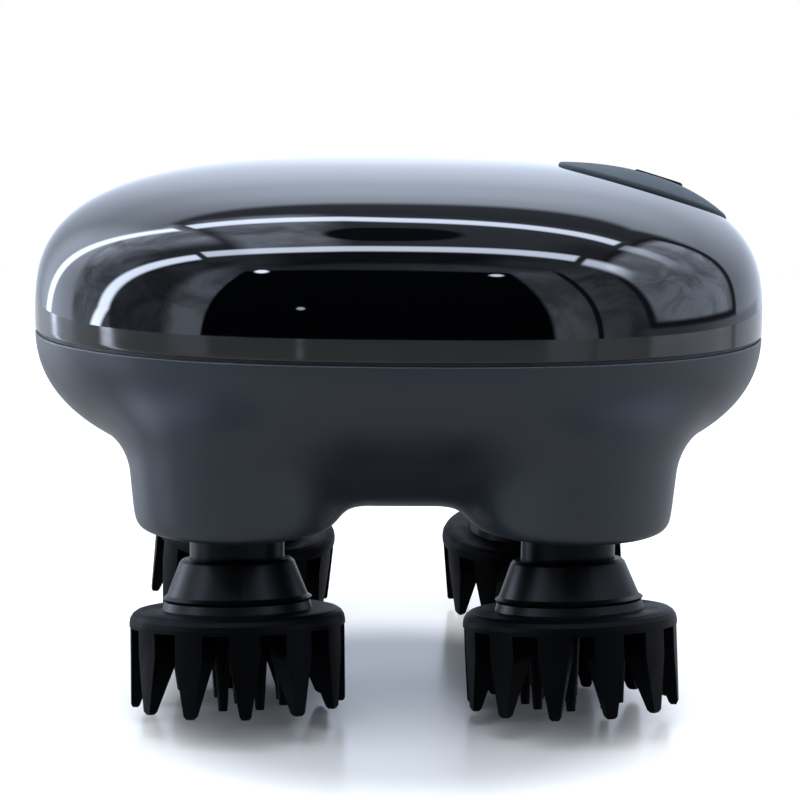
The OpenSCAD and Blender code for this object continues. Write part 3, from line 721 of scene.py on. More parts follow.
@dataclass(frozen=True)
class Metal:
    """A drawn, turned or plated metal finish."""

    name: str
    color: Triple
    rough: Pair = (0.22, 0.42)
    line_scale: float = 2600.0
    stretch: float = 0.03
    stain: float = 0.12
    stain_scale: float = 140.0
    line_strength: float = 0.2
    line_depth: float = 1e-5

    def material(self) -> Material:
        """Builds the material: lines drive roughness and bump, a mottle stains the colour.

        Returns:
            The material.
        """
        made, n = new_material(self.name)
        scales = {"Line_Scale": self.line_scale, "Stretch": self.stretch}
        lines = n.add("Group", node_tree=TURNING, **scales).outputs[0]
        body = n.add("Group", node_tree=MOULDING, Mottle_Scale=self.stain_scale)
        dark = tuple(c * (1 - 2 * self.stain) for c in self.color) + (1.0,)
        color = n.tint(dark, body.outputs["Mottle"], self.color + (1.0,))
        bump = n.add("Bump", Strength=self.line_strength, Distance=self.line_depth, Height=lines)
        rough = n.fade(lines, 0.3, 0.7, *self.rough)
        n.surface(Base_Color=color, Metallic=1.0, Roughness=rough, Normal=bump.outputs[0])
        return made


FINISHES: dict[str, Plastic | Metal] = {
    "cover_gloss": Plastic(
        "piano_black", (0.0010, 0.0013, 0.0020), (0.02, 0.05), 0.2, 900.0, 0.0, 3e-6, 0.06, 22.0, 0.05, 1.52
    ),
    "housing_matte": Plastic(
        "slate_satin", (0.019, 0.0255, 0.035), (0.42, 0.52), 0.1, 5200.0, 0.45, 3e-5, 0.35, 40.0, 0.05
    ),
    "gasket_rubber": Plastic(
        "gasket_rubber", (0.006, 0.006, 0.007), (0.5, 0.7), 0.2, 3000.0, 0.4, 2e-5, 0.3
    ),
    "panel_matte": Plastic(
        "panel_black", (0.056, 0.072, 0.088), (0.55, 0.7), 0.2, 3800.0, 0.4, 2e-5, 0.3, 30.0, 0.04,
        specular=0.035,
    ),
    "button_gloss": Plastic(
        "button_black", (0.006, 0.007, 0.009), (0.3, 0.4), 0.2, 2500.0, 0.3, 8e-6, 0.15, specular=0.008
    ),
    "switch_plastic": Plastic("switch_plastic", (0.02, 0.02, 0.022)),
    "circuit_board": Plastic(
        "solder_mask", (0.008, 0.07, 0.035), (0.25, 0.4), 0.3, 2400.0, 0.2, 1e-5, 0.2, 160.0
    ),
    "chassis_plastic": Plastic(
        "chassis_nylon", (0.40, 0.41, 0.42), (0.4, 0.55), 0.06, 2600.0, 0.5, 2e-5, 0.3
    ),
    "motor_steel": Metal("motor_can", (0.58, 0.59, 0.60), (0.2, 0.35)),
    "gearbox_steel": Metal("gearbox_steel", (0.50, 0.50, 0.51), (0.28, 0.45)),
    "ground_steel": Metal("ground_steel", (0.62, 0.62, 0.63), (0.15, 0.28), 3600.0, 0.02),
    "gear_plastic": Plastic("acetal", (0.76, 0.74, 0.66), (0.3, 0.42), 0.04, 2600.0, 0.3, 1e-5, 0.2),
    "cell_wrap": Plastic("cell_sleeve", (0.02, 0.12, 0.33), (0.18, 0.3), 0.15, 1800.0, 0.1, 1e-5, 0.15),
    "cradle_plastic": Plastic("cradle_black", (0.015, 0.015, 0.017)),
    "seat_plastic": Plastic("seat_black", (0.009, 0.009, 0.010), (0.3, 0.42)),
    "gold_contact": Metal("gold_plate", (0.86, 0.60, 0.24), (0.12, 0.24)),
    "magnet_nickel": Metal("nickel_plate", (0.62, 0.61, 0.58), (0.15, 0.3)),
    "screw_steel": Metal("zinc_screw", (0.36, 0.37, 0.38), (0.25, 0.4)),
    "bush_bronze": Metal("sintered_bronze", (0.52, 0.34, 0.15), (0.4, 0.6), 3000.0, 0.6, 0.25),
    "hub_plastic": Plastic(
        "hub_black", (0.0012, 0.0015, 0.0021), (0.34, 0.46), 0.2, 3600.0, 0.4, 2e-5, 0.22, 70.0, 0.05,
        specular=0.10,
    ),
    "pad_silicone": Plastic(
        "silicone_black", (0.0010, 0.0012, 0.0018), (0.45, 0.6), 0.2, 2600.0, 0.35, 2e-5, 0.2, 90.0, 0.05,
        specular=0.05,
    ),
}


class Dresser:
    """Builds each finish once and puts it on nodes and pieces."""

    def __init__(self) -> None:
        """Reads which slot each node has from the record."""
        self.made: dict[str, Material] = {}
        self.slots = {row["node"]: row["material_slot"] for row in frame["record"]["subparts"]}

    def finish(self, slot: str) -> Material:
        """The material of a slot."""
        if slot not in self.made:
            self.made[slot] = FINISHES[slot].material()
        return self.made[slot]

    def dress(self, thing: Object, slot: str) -> None:
        """Gives an object one finish all over."""
        thing.data.materials.clear()
        thing.data.materials.append(self.finish(slot))

    def nodes(self, hidden: Iterable[str]) -> None:
        """Dresses every node that no piece stands for."""
        for name, thing in frame["nodes"].items():
            if name not in hidden:
                self.dress(thing, self.slots[name])

    def piece(self, thing: Object, body: str, slot: str, *stands_for: str) -> Object:
        """Finishes a new piece, lets it ride on a body and hides the nodes it stands for.

        Args:
            thing: the piece.
            body: the body that carries it.
            slot: its material slot.
            *stands_for: nodes that it replaces.

        Returns:
            The piece.
        """
        self.dress(thing, slot)
        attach(thing, body)
        if stands_for:
            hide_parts(*stands_for)
        LOG.info("piece %s on %s: %d faces", thing.name, body, len(thing.data.polygons))
        return thing


# ---------- Sub-assemblies ----------


@dataclass
class ControlPanel:
    """The oval inlay on the right shoulder, with a round hole for the button."""

    form: Form = FORM
    x: float = 41.0
    length: float = 28.0
    width: float = 41.0
    depth: float = 1.1
    slip: float = 0.2
    bond: float = 0.05
    button_r: float = 4.25
    button_ahead: float = 2.5
    edge: float = 0.45
    proud: float = 1.3
    dome: float = 0.58
    cols: int = 288
    face_rows: int = 26
    back_rows: int = 8

    @property
    def tilt(self) -> float:
        """Slope of the crown under the button, in radians.

        Returns:
            The angle, positive where the crown falls to the right.
        """
        x = self.x + self.button_ahead
        low, high = self.form.crown(np.array([x + 0.5, x - 0.5]), np.zeros(2))
        return math.atan(high - low)

    def oval(self, u: Array, grow: float) -> Array:
        """Plan points of the oval: x = centre + half length cos u, y = half width sin u, both grown."""
        half_x, half_y = self.length / 2 + grow, self.width / 2 + grow
        return np.stack([self.x + half_x * np.cos(u), half_y * np.sin(u)], -1)

    def hole(self, u: Array, radius: float, depth: float) -> Array:
        """A circle round the button's axis, depth below the crown along that axis.

        Args:
            u: angles of the points.
            radius: the circle's radius.
            depth: how far it lies below the crown.

        Returns:
            A ring of points.
        """
        x = self.x + self.button_ahead
        top = np.array([x, 0.0, float(self.form.crown(np.array(x), np.array(0.0)))])
        s, c = math.sin(self.tilt), math.cos(self.tilt)
        along, across, axis = np.array([c, 0, -s]), np.array([0, 1.0, 0]), np.array([s, 0, c])
        return top - axis * depth + radius * (np.cos(u)[:, None] * along + np.sin(u)[:, None] * across)

    def on_crown(self, plan: Array, drop: float) -> Array:
        """Lifts plan points to the crown, less a drop."""
        z = self.form.crown(plan[..., 0], plan[..., 1]) - drop
        return np.concatenate([plan, z[..., None]], -1)

    def lift(self, plan: Array) -> Array:
        """Height of the face above the crown: proud (1 - dome q squared), q being 1 at the oval's edge."""
        q2 = ((plan[..., 0] - self.x) / (self.length / 2)) ** 2 + (plan[..., 1] / (self.width / 2)) ** 2
        return self.proud * (1 - self.dome * q2)

    def raised(self, plan: Array, drop: float) -> Array:
        """Lifts plan points to the inlay's face, less a drop."""
        return self.on_crown(plan, drop) + self.lift(plan)[:, None] * [0, 0, 1]

    def sheet(self, outer: Array, inner: Array, rows: int, place: Callable[[Array], Array]) -> list[Array]:
        """Rings from an outer to an inner plan outline, each put in place by a function."""
        return [place(outer + (inner - outer) * s) for s in np.linspace(0, 1, rows)]

    def build(self, dresser: Dresser) -> None:
        """Makes the inlay: a domed face with rolled edges, hole wall and underside.

        Args:
            dresser: what gives it its finish and body.
        """
        u = np.arange(self.cols) * TAU / self.cols
        hole_r, edge = self.button_r + self.slip, self.edge
        hole, mouth = (self.hole(u, r, 0.0)[:, :2] for r in (hole_r, hole_r + edge))
        roll = [(edge * (1 - math.sin(a)), edge * (1 - math.cos(a))) for a in ROLL]
        rings = [self.on_crown(self.oval(u, 0.0), self.depth)]
        rings += [self.raised(self.oval(u, -inset), drop) for drop, inset in roll]
        rings += self.sheet(self.oval(u, -edge), mouth, self.face_rows, lambda plan: self.raised(plan, 0.0))[1:]
        rings += [self.raised(self.hole(u, hole_r + inset, 0.0)[:, :2], drop) for drop, inset in roll[-2::-1]]
        rings += [self.on_crown(hole, self.depth)]
        back = self.sheet(hole, self.oval(u, 0.0), self.back_rows, lambda plan: self.on_crown(plan, self.depth))
        made = ring_solid("control_inlay", rings + back[1:-1], closed=True)
        dresser.piece(made, "housing", "panel_matte", "control_panel")


@dataclass
class PowerButton:
    """The round button in the inlay: a low cap with a rolled rim and a dished face, on its flange and stem."""

    panel: ControlPanel
    above: float = 0.1
    roll: float = 0.5
    dish: float = 0.35
    flange_z: float = -3.3
    base_z: float = -4.1
    stem_z: float = -4.9
    stem_r: float = 1.6
    flange: float = 1.1
    cols: int = 96
    face_rows: int = 12
    face_span: Pair = (0.08, 0.97)

    def profile(self) -> list[Pair]:
        """Radius and height of the skin: straight stem, flange and wall, an arc for the rim, a cosine dish.

        Returns:
            (radius, height) pairs from the stem to the middle of the face.
        """
        r = self.panel.button_r
        centre = np.array([[self.panel.x + self.panel.button_ahead, 0.0]])
        top = float(self.panel.lift(centre)[0]) + self.above
        skin = [(self.stem_r, self.stem_z), (self.stem_r, self.base_z), (r + self.flange, self.base_z)]
        skin += [(r + self.flange, self.flange_z), (r, self.flange_z)]
        skin += [(r - self.roll * (1 - math.cos(a)), top - self.roll * (1 - math.sin(a))) for a in ROLL]
        for s in np.linspace(*self.face_span, self.face_rows):
            skin.append(((r - self.roll) * (1 - s), top - self.dish * (1 - math.cos(math.pi * s)) / 2))
        return skin

    def build(self, dresser: Dresser) -> None:
        """Turns the profile about the button's axis.

        Args:
            dresser: what gives it its finish and body.
        """
        u = np.arange(self.cols) * TAU / self.cols
        rings = [self.panel.hole(u, r, -z) for r, z in self.profile()]
        made = ring_solid("power_cap", rings, closed=False, sharp=50.0)
        dresser.piece(made, "button", "button_gloss", "power_button")


@dataclass
class TopCover:
    """The gloss upper shell, with a pocket for the inlay and a hole for the button."""

    panel: ControlPanel
    form: Form = FORM
    rows: int = 120
    inner_rows: int = 40
    lip: float = 0.3
    crowding: float = 1.12
    brim: float = 0.15
    ease: float = 0.04
    overlap: float = 0.1
    pocket_rows: int = 8

    def build(self, dresser: Dresser) -> None:
        """Makes the shell: rings run from the rim up to the pocket, down through the hole and back inside.

        Args:
            dresser: what gives it its finish and body.
        """
        f, p = self.form, self.panel
        rim_z = f.seam_z + f.seam_gap / 2
        c = np.array([0, 0, rim_z])
        u = np.arange(p.cols) * TAU / p.cols
        rim = np.stack([np.cos(u), np.sin(u), np.zeros_like(u)], -1)
        deep = p.depth + p.bond
        brink = p.on_crown(p.oval(u, p.slip + self.brim), 0.0)
        s = 1 - (1 - np.linspace(0, 1, self.rows)) ** self.crowding
        outer = f.meet(c, slerp(rim, unit(brink - c), s))
        rings = rolled_lip(f.meet(c, rim), rim, self.lip, 1.0)
        rings += list(outer[outer[:, :, 2].mean(1) > rim_z + self.lip])
        pocket = p.oval(u, p.slip)
        rings += [p.on_crown(p.oval(u, p.slip + self.ease), self.ease), p.on_crown(pocket, self.brim)]
        rings += [p.on_crown(pocket, deep)]
        hole_r = p.button_r + p.slip
        hole = p.hole(u, hole_r, 0.0)[:, :2]
        rings += p.sheet(pocket, hole, self.pocket_rows, lambda plan: p.on_crown(plan, deep))[1:]
        mouth = p.hole(u, hole_r, f.wall + self.overlap)
        rings += list(f.meet(c, slerp(unit(mouth - c), rim, np.linspace(0, 1, self.inner_rows)), f.wall))
        made = ring_solid("top_shell", rings, closed=True, sharp=35.0)
        dresser.piece(made, "housing", "cover_gloss", "top_cover")


@dataclass
class LowerHousing:
    """The satin lower shell with its legs, leg faces, screw wells and charging recess."""

    form: Form = FORM
    cols: int = 320
    rows: int = 170
    inner_cols: int = 120
    inner_rows: int = 50
    face_r: float = 11.2
    pocket_r: float = 7.0
    case_x: float = 49.5
    case_y: float = 15.0
    well_r: float = 2.9
    seat_w: float = 25.4
    seat_h: float = 8.4
    seat_drop: float = 7.4
    seat_in: float = 8.0
    seat_out: float = 4.0
    well_drop: float = 8.0
    seal_h: float = 4.4
    overcut: float = 4.0
    pocket_cols: int = 96
    well_cols: int = 64
    seat_cols: int = 24
    post_cols: int = 48
    lip: float = 0.3
    crowding: float = 1.25
    inner_crowding: float = 1.2
    pole_gap: float = 0.35
    gear_rise: float = 5.8
    post_x: float = 40.314
    post_y: float = 36.714
    boss: Triple = (6.6, 4.65, -2.4)
    post: Triple = (3.5, 1.55, 7.0)
    hub: Triple = (7.0, 3.1, -1.4)
    screw_post: Pair = (4.2, 1.7)
    screw_top: float = 0.35
    screw_seat: float = 5.0

    def cup(self, c: Array, t: float, rows: int, cols: int, power: float) -> list[Array]:
        """Rings from the rim down to near the pole: directions (cos u cos v, sin u cos v, sin v).

        Args:
            c: middle of the rim.
            t: how far the surface is set in.
            rows: number of rings.
            cols: points in a ring.
            power: above 1 it crowds the rings at the rim.

        Returns:
            The rings.
        """
        u = np.arange(cols) * TAU / cols
        v = -math.pi / 2 * (np.arange(rows) / (rows - self.pole_gap)) ** power
        level = np.cos(v)[:, None]
        way = np.stack([level * np.cos(u), level * np.sin(u), np.sin(v)[:, None] * np.ones_like(u)], -1)
        return list(self.form.meet(c, way, t))

    def wall_frame(self) -> Matrix:
        """The charging face's frame: its Y axis points straight out of the rear wall.

        Returns:
            The frame in metres, with its origin on the wall.
        """
        f = self.form
        z = f.seam_z - self.seat_drop
        rear = [f.meet((0, 0, h), np.array([0.0, 1.0, 0.0])) for h in (z, z + 1)]
        lean = math.atan(rear[1][1] - rear[0][1])
        return Matrix.Translation(Vector(rear[0] * MM)) @ Matrix.Rotation(-lean, 4, "X")

    def foot_at(self, head: Head) -> Pair:
        """Plan place of a leg."""
        return head.value[0] * self.form.leg_dx, head.value[1] * self.form.leg_dy

    def case_screws(self) -> list[Pair]:
        """Plan places of the four case screws."""
        return [(x * self.case_x, y * self.case_y) for x in (-1, 1) for y in (-1, 1)]

    def cutters(self) -> Object:
        """One object that holds every hole: leg faces, seal pockets, screw wells and the charging recess.

        Returns:
            The cutter.
        """
        f = self.form
        parts = []
        for head in Head:
            profile = [(self.face_r, f.leg_foot_z - self.overcut), (self.face_r, f.leg_face_z)]
            profile += [(self.pocket_r, f.leg_face_z), (self.pocket_r, f.leg_face_z + self.seal_h)]
            parts.append(ring_solid("cut", revolved(profile, self.pocket_cols, self.foot_at(head)), False))
        for at in self.case_screws():
            profile = [(self.well_r, f.leg_foot_z), (self.well_r, f.seam_z - self.well_drop)]
            parts.append(ring_solid("cut", revolved(profile, self.well_cols, at), False))
        a = np.linspace(-math.pi / 2, math.pi / 2, self.seat_cols)
        half = (self.seat_w - self.seat_h) / 2
        end = np.stack([half + self.seat_h / 2 * np.cos(a), self.seat_h / 2 * np.sin(a)], -1)
        outline = np.concatenate([end, -end])
        x, z = outline.T
        rings = [np.stack([x, np.full(len(x), y), z], -1) for y in (-self.seat_in, self.seat_out)]
        seat = ring_solid("cut", rings, closed=False, flip=True)
        seat.data.transform(self.wall_frame())
        return joined("cutters", parts + [seat])

    def floor_under(self, ring: Array) -> Array:
        """Heights halfway into the wall below a ring's points, found by halving.

        Args:
            ring: points whose heights are not used.

        Returns:
            A height for each point.
        """
        f = self.form
        low, high = np.full(len(ring), f.leg_foot_z - 2), np.full(len(ring), f.seam_z)
        for _ in range(HALVINGS - 4):
            mid = (low + high) / 2
            out = f.outside(np.stack([ring[:, 0], ring[:, 1], mid], 1), f.wall / 2) > 0
            low, high = np.where(out, mid, low), np.where(out, high, mid)
        return high

    def tube(self, at: Pair, radii: Pair, top: float, seat: float = 0.0) -> Object:
        """A turned post that starts within the wall.

        Args:
            at: place of its axis.
            radii: outer radius and bore.
            top: height of its top.
            seat: height at which its bore widens to a screw well; 0 for none.

        Returns:
            The post.
        """
        r_out, r_in = radii
        low = self.well_r if seat else r_in
        profile = [(low, top - 1), (r_out, top - 1), (r_out, top), (r_in, top)]
        profile += [(r_in, seat), (self.well_r, seat)] if seat else []
        rings = revolved(profile, self.post_cols, at)
        for ring in rings[:2]:
            ring[:, 2] = self.floor_under(ring)
        return ring_solid("boss", rings, closed=True)

    def inside(self) -> Object:
        """Bosses under the gears, screw wells and posts, on the inside.

        Returns:
            The posts as one object.
        """
        f = self.form
        gear_z = f.leg_foot_z + f.leg_drop + f.wall + self.gear_rise
        x, y = self.post_x, self.post_y
        parts = [self.tube(self.foot_at(head), self.boss[:2], gear_z + self.boss[2]) for head in Head]
        top, seat = f.seam_z - self.screw_top, f.seam_z - self.screw_seat
        parts += [self.tube(at, self.screw_post, top, seat) for at in self.case_screws()]
        for at in ((x, 0.0), (-x, 0.0), (0.0, y), (0.0, -y)):
            parts.append(self.tube(at, self.post[:2], gear_z + self.post[2]))
        parts.append(self.tube((0.0, 0.0), self.hub[:2], gear_z + self.hub[2]))
        return joined("housing_bosses", parts)

    def build(self, dresser: Dresser) -> None:
        """Makes the shell, cuts its holes and adds the inside.

        Args:
            dresser: what gives it its finish and body.
        """
        f = self.form
        rim_z = f.seam_z - f.seam_gap / 2
        c = np.array([0, 0, rim_z])
        outer = self.cup(c, 0.0, self.rows, self.cols, self.crowding)
        inner = self.cup(c, f.wall, self.inner_rows, self.inner_cols, self.inner_crowding)
        skin = rolled_lip(outer[0], unit(outer[0] - c), self.lip, -1.0)
        skin += [ring for ring in outer if ring[:, 2].mean() < rim_z - self.lip]
        n_out, n_in = len(skin) * self.cols, len(inner) * self.inner_cols
        faces = grid_faces(len(skin), self.cols, flip=True).tolist()
        faces += grid_faces(len(inner), self.inner_cols, start=n_out).tolist()
        faces.append(((len(skin) - 1) * self.cols + np.arange(self.cols))[::-1].tolist())
        faces.append((n_out + n_in - self.inner_cols + np.arange(self.inner_cols)).tolist())
        shell = mesh_object("lower_shell", np.concatenate(skin + inner), faces + self.rim_faces(n_out))
        carved(shell, self.cutters())
        dresser.piece(shell, "housing", "housing_matte", "lower_housing")
        dresser.piece(self.inside(), "housing", "housing_matte", "lower_housing")

    def rim_faces(self, n_out: int) -> list[list[int]]:
        """Triangles between the outer ring and the coarser inner one, by the order of both rings' angles.

        Args:
            n_out: number of the inner ring's first point.

        Returns:
            A triangle for each step along either ring.
        """
        m, k = self.cols, self.inner_cols
        angle = np.concatenate([(np.arange(m) + 1) * k, (np.arange(k) + 1) * m])
        along_inner = np.arange(m + k) >= m
        order = np.lexsort((along_inner, angle))
        step = along_inner[order]
        j = np.cumsum(step) - step
        i = np.arange(m + k) - j
        ahead = np.where(step, n_out + (j + 1) % k, (i + 1) % m)
        return np.stack([i % m, ahead, n_out + j % k], -1).tolist()


# ---------- Studio ----------


class Room:
    """What gloss mirrors, by direction: x to the right, y to the back, z up, each as part of a unit vector.

    SPOTS gives each small bright spot's direction, size and strength.
    """

    SPOTS = (
        ((-0.402, -0.687, 0.605), 0.04, 22.0),
        ((0.256, -0.768, 0.587), 0.032, 14.0),
        ((-0.273, -0.953, 0.129), 0.022, 8.0),
    )

    def __init__(self, n: Nodes, place: Socket) -> None:
        """Works out the middle line of each row of strip lamps and the slants that the rest needs.

        Args:
            n: the world's nodes.
            place: the direction as a socket.
        """
        self.n = n
        self.x, self.y, self.z = n.add("SeparateXYZ", Vector=place).outputs
        haze = n.noise(place, 3.2, 4.0, Roughness=0.6, Distortion=0.8)
        self.smoke = n.fade(haze, 0.35, 0.65, 0.65, 1.35)
        x, z = self.x, self.z
        right = n.above(n.line(x, 1.0, 0.05))
        left = n.above(n.line(x, -1.0, -0.12))
        self.outer_mid = n.plus(0.262, n.times(right, -0.28), n.times(right, right, -0.22))
        self.inner_mid = n.plus(-0.395, n.times(left, left, 0.45))
        self.outer_left = n.plus(0.665, n.times(z, -0.42), n.times(z, z, -0.08))
        below = n.times(n.above(n.times(z, -1.0)), 0.6)
        self.inner_left = n.plus(-0.035, n.times(z, -0.3), n.times(z, z, -0.13), below)
        self.slant = n.math("DIVIDE", x, n.above(n.times(self.y, -1.0), 0.05))
        self.turn = n.math("DIVIDE", self.y, n.above(x, 0.05))

    def ceiling(self) -> Socket:
        """Between the rows: hazy on the left, dim on the right, a dark oval amid them; a side wall far left.

        Returns:
            The level of light there.
        """
        n, x, y = self.n, self.x, self.y
        across, along = n.line(x, 1.0, -0.005), n.line(y, 1.0, 0.085)
        oval = n.plus(n.times(across, across, 64.0), n.times(along, along, 42.0))
        haze = n.times(n.rise(n.less(y, self.inner_left), 0.3, 0.12), n.rise(self.z, 0.42, 0.14), 2.6)
        wall = n.plus(n.over(0.3, n.fall(x, -0.8, 0.15), 1.2), haze)
        return n.layers(
            0.45,
            (n.fall(x, -0.28, 0.03), 0.3),
            (n.times(n.rise(x, -0.40, 0.05), n.fall(x, -0.1, 0.06)), n.times(self.smoke, 2.2)),
            (n.rise(x, 0.0, 0.1), 0.55),
            (n.times(n.rise(x, 0.42, 0.1), n.fall(y, -0.1, 0.1)), 0.3),
            (n.fall(oval, 1.0, 0.25), 0.05),
            (n.fall(x, -0.45, 0.03), n.times(self.smoke, wall)),
        )

    def front(self, level: object) -> Socket:
        """Ahead of the inner row: dark, with a dim strip above the card and lighter sides.

        Args:
            level: the light so far.

        Returns:
            The light with this part laid over it.
        """
        n, x, y = self.n, self.x, self.y
        near = n.layers(
            0.12,
            (n.fall(y, -0.66, 0.03), 0.5),
            (n.fall(x, -0.33, 0.08), 0.35),
            (n.times(n.fall(x, -0.5, 0.05), n.fall(y, -0.55, 0.05)), 1.3),
            (n.rise(x, 0.25, 0.08), 0.4),
            (n.times(n.rise(x, 0.3, 0.05), n.fall(y, -0.72, 0.05)), 1.0),
        )
        return n.over(level, n.fall(n.less(y, self.inner_mid), -0.05, 0.02), n.times(self.smoke, near))

    def canopy(self, level: object) -> Socket:
        """Behind the outer row: a dark gap, then a lit canopy, brightest far left and dim at the horizon.

        Args:
            level: the light so far.

        Returns:
            The light with this part laid over it.
        """
        n, x, z = self.n, self.x, self.z
        off = n.less(self.y, self.outer_mid)
        gap = n.times(n.rise(off, 0.0, 0.01), n.rise(x, -0.45, 0.02))
        light = n.layers(1.5, (n.rise(x, -0.2, 0.2), 2.1), (n.fall(x, -0.62, 0.14), 3.9))
        height = n.plus(n.fade(z, 0.1, 0.6, 0.62, 1.0), n.times(n.rise(z, 0.62, 0.1), 0.35))
        brink = n.above(n.plus(0.54, n.times(x, x, -0.9)), 0.31)
        return n.layers(
            level,
            (gap, n.over(level, n.rise(off, 0.1, 0.04), 0.35)),
            (n.rise(n.less(self.y, brink), 0.03, 0.04), n.times(light, height)),
        )

    def softbox(self, level: object) -> Socket:
        """On the right: a tall lit panel with a thin dark border and a wall under it.

        Args:
            level: the light so far.

        Returns:
            The light with this part laid over it.
        """
        n, turn, z = self.n, self.turn, self.z
        side = n.rise(self.x, 0.60, 0.03)
        low = n.less(turn, n.line(z, -0.3, -0.47))
        wall = n.times(side, n.rise(turn, -0.62, 0.1), n.fall(z, -0.06, 0.012))
        border = n.times(side, n.rise(low, -0.10, 0.02), n.fall(turn, 0.46, 0.025), n.rise(z, -0.062, 0.01))
        core = n.times(n.rise(self.x, 0.64, 0.03), n.rise(low, -0.02, 0.03), n.fall(turn, 0.38, 0.03))
        glow = n.over(1.7, n.rise(z, 0.45, 0.2), 2.8)
        return n.layers(
            level,
            (wall, n.over(0.55, n.rise(turn, 0.0, 0.3), 0.9)),
            (border, 0.12),
            (n.times(core, n.rise(z, -0.025, 0.015)), n.times(self.smoke, glow)),
        )

    def card(self, level: object) -> Socket:
        """In front: a black card with rounded corners, a glow at its left and a grey wall at its right.

        Args:
            level: the light so far.

        Returns:
            The light with this part laid over it.
        """
        n, x, y, z, slant = self.n, self.x, self.y, self.z, self.slant
        centre = n.line(x, 1.0, 0.05)
        from_left = n.less(slant, n.line(z, 0.35, -0.93))
        from_right = n.less(slant, n.line(z, -0.22, 0.55))
        top = n.fall(n.plus(z, n.times(centre, centre, 0.35)), 0.66, 0.015)
        card = n.times(n.fall(y, -0.3, 0.05), n.rise(from_left, 0.0, 0.02), n.fall(from_right, 0.0, 0.02))
        near = n.fall(y, -0.45, 0.03)
        wall = n.times(near, n.fall(z, 0.62, 0.05), n.rise(from_right, 0.02, 0.03), n.fall(slant, 1.35, 0.12))
        edge = n.less(slant, n.line(z, -0.3, 0.91))
        glow = n.times(near, n.band(n.line(slant, 1.0, 1.12), 0.12, 0.14), n.fall(z, 0.35, 0.15))
        return n.layers(
            level,
            (n.times(card, top, n.rise(z, -0.1, 0.01)), 0.0),
            (wall, n.times(self.smoke, n.over(0.55, n.fall(edge, 0.0, 0.3), 0.95))),
            (n.times(wall, n.band(edge, 0.03, 0.012)), 0.08),
            (n.times(glow, n.fall(from_left, -0.01, 0.02)), n.times(self.smoke, 1.4)),
        )

    def light(self) -> Socket:
        """All of it, with the two rows of strip lamps and three small bright spots on top.

        Returns:
            The level of light for each direction.
        """
        n, x, y, z = self.n, self.x, self.y, self.z
        value = self.card(self.softbox(self.canopy(self.front(self.ceiling()))))
        # Each row of lamps: its middle line, half width, softness, where it is lit and how strongly.
        rows = (
            (self.outer_mid, 0.045, 0.02, n.times(n.rise(x, -0.435, 0.008), n.fall(x, 0.565, 0.008)), 13.0),
            (self.outer_left, 0.03, 0.025, n.fall(x, -0.485, 0.008), n.over(7.5, n.rise(z, 0.1, 0.3), 15.0)),
            (-0.04, 0.05, 0.03, n.times(n.rise(x, 0.60, 0.01), n.fall(x, 0.8, 0.15)), 5.0),
            (self.inner_mid, 0.05, 0.02, n.times(n.rise(x, -0.57, 0.008), n.fall(x, 0.505, 0.008)), 13.0),
            (self.inner_left, 0.055, 0.025, n.fall(x, -0.60, 0.008), 17.0),
            (-0.42, 0.05, 0.03, n.times(n.rise(x, 0.54, 0.01), n.fall(x, 0.72, 0.08)), 11.0),
        )
        for middle, half, soft, mask, power in rows:
            value = n.plus(value, n.times(n.band(n.less(y, middle), half, soft), mask, power))
        way = n.add("CombineXYZ", X=x, Y=y, Z=z).outputs[0]
        for spot, size, power in self.SPOTS:
            value = n.plus(value, n.fade(n.apart(way, spot), 0.45 * size, size, power, 0.0))
        return value


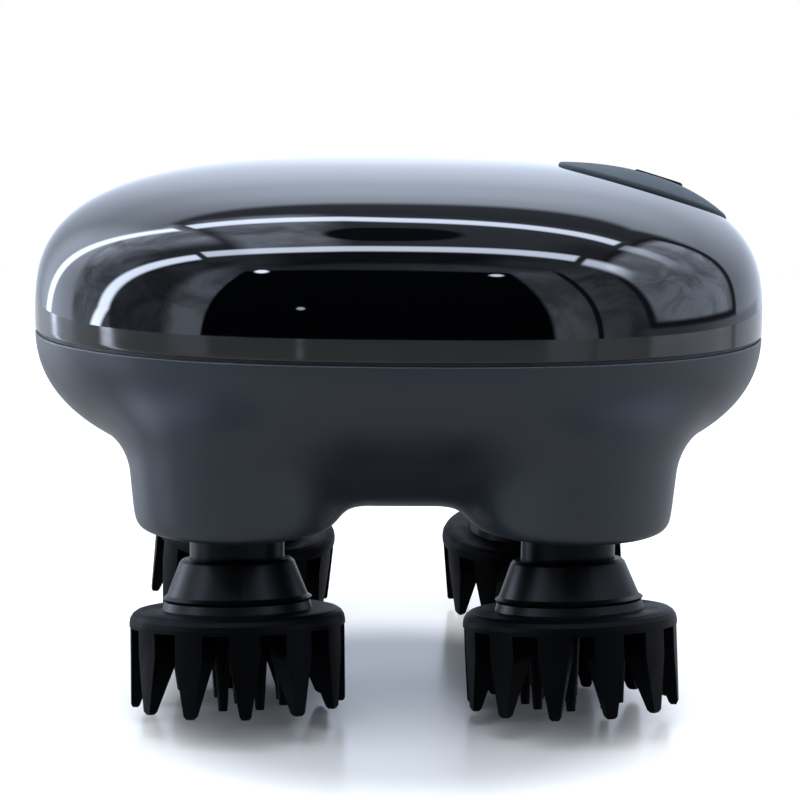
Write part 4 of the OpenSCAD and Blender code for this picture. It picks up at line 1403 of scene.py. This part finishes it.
@dataclass(frozen=True)
class Studio:
    """The floor, the light and the camera."""

    target: Triple = (0.0, 0.0, 0.04714)
    distance: float = 0.33562
    azimuth: float = 2.32
    elevation: float = 9.01
    roll: float = 0.70
    lens: float = 88.2135
    shift: Pair = (0.0035, -0.01125)
    floor_color: Triple = (0.80, 0.85, 0.92)
    floor_dim: Triple = (0.05, 0.055, 0.06)
    floor_r: float = 700.0
    floor_cols: int = 96
    floor_rough: Pair = (0.16, 0.24)
    gloss_share: float = 0.5
    lit_level: float = 0.55
    # The next three set the floor's painted shadow: no glow within the first distance of a point this far along
    # y, rising to lit_level by the second distance.
    painted_shadow_y: float = -0.025
    painted_shadow_r: float = 0.032
    painted_shadow_fade_r: float = 0.054
    plain_level: float = 0.55
    room_tint: Triple = (0.80, 0.90, 1.10)

    def camera(self) -> None:
        """Places the camera: back from the target along its own axis, then rolled about it."""
        a, e = math.radians(self.azimuth), math.radians(self.elevation)
        away = Vector((-math.sin(a) * math.cos(e), -math.cos(a) * math.cos(e), math.sin(e)))
        data = bpy.data.cameras.new("camera")
        data.lens, data.sensor_width = self.lens, 36.0
        data.shift_x, data.shift_y = self.shift
        data.clip_start, data.clip_end = 0.01, 50.0
        made = placed("camera", data)
        turn = away.to_track_quat("Z", "Y").to_matrix() @ Matrix.Rotation(math.radians(self.roll), 3, "Z")
        made.matrix_world = Matrix.Translation(Vector(self.target) + away * self.distance) @ turn.to_4x4()
        bpy.context.scene.camera = made

    def floor(self) -> None:
        """A pale floor that is white to the camera away from the object, with a painted shadow round and under
        the object where its glow fades to none, and throws little light up at it.
        """
        (ring,) = revolved([(self.floor_r, 0.0)], self.floor_cols, (0.0, 0.0))
        made = mesh_object("floor", ring, [list(range(self.floor_cols))])
        finish, n = new_material("floor_white")
        rays, place = n.add("LightPath").outputs, n.place()
        seen = n.math("MAXIMUM", rays["Is Camera Ray"], n.times(rays["Is Glossy Ray"], self.gloss_share))
        rough = n.fade(n.noise(place, 6.0, 3.0), 0.3, 0.7, *self.floor_rough)
        color = n.tint(self.floor_dim + (1.0,), seen, self.floor_color + (1.0,))
        # Painted shadow: the floor's glow fades to none round and under the object, so the floor darkens there.
        far = n.apart(place, (0.0, self.painted_shadow_y, 0.0))
        glow_past_painted_shadow = n.fade(far, self.painted_shadow_r, self.painted_shadow_fade_r, 0.0, self.lit_level)
        glow = n.times(seen, glow_past_painted_shadow)
        n.surface(Base_Color=color, Roughness=rough, IOR=1.45, Emission_Color=WHITE, Emission_Strength=glow)
        made.data.materials.append(finish)
        made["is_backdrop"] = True

    def world(self) -> None:
        """The room: plain light for dull surfaces, white for the camera, and its lamps and walls for gloss."""
        world = bpy.data.worlds.new("room")
        bpy.context.scene.world = world
        world.use_nodes = True
        n = Nodes(world.node_tree)
        place = n.add("TexCoord").outputs["Generated"]
        rays = n.add("LightPath").outputs
        value = n.over(self.plain_level, rays["Is Glossy Ray"], Room(n, place).light())
        value = n.over(value, rays["Is Camera Ray"], 1.0)
        tint = n.tint(WHITE, rays["Is Glossy Ray"], self.room_tint + (1.0,))
        shade = n.add("Background", Color=tint, Strength=value)
        n.add("OutputWorld", Surface=shade.outputs[0])

    def lamps(self) -> None:
        """One broad soft lamp above and a weak one from the left; neither shows in gloss."""
        for name, place, size, power, tint in (
            ("key", (-0.1, -0.15, 0.9), 0.9, 5.5, (1.0, 1.0, 1.0)),
            ("left_fill", (-0.9, -0.2, 0.35), 0.5, 1.6, (0.92, 0.96, 1.0)),
        ):
            data = bpy.data.lights.new(name, "AREA")
            data.shape, data.size, data.energy, data.color = "DISK", size, power, tint
            made = placed(name, data)
            turn = Vector(place).to_track_quat("Z", "Y").to_matrix().to_4x4()
            made.matrix_world = Matrix.Translation(place) @ turn
            made.visible_glossy = False

    def build(self) -> None:
        """Sets up the view and the stage."""
        bpy.context.scene.view_settings.view_transform = "Standard"
        self.camera()
        self.floor()
        self.world()
        self.lamps()


def main() -> None:
    """Builds the sub-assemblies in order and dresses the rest."""
    dresser = Dresser()
    panel = ControlPanel()
    panel.build(dresser)
    PowerButton(panel).build(dresser)
    TopCover(panel).build(dresser)
    LowerHousing().build(dresser)
    dresser.nodes(hidden=("control_panel", "power_button", "top_cover", "lower_housing"))
    Studio().build()
    low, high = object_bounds()
    sizes = {
        "cad": [list(map(float, corner)) for corner in CAD_BOX],
        "visual": [list(map(float, low)), list(map(float, high))],
    }
    LOG.info("cad box %s, visual box %s", sizes["cad"], sizes["visual"])


if __name__ == "__main__":
    main()
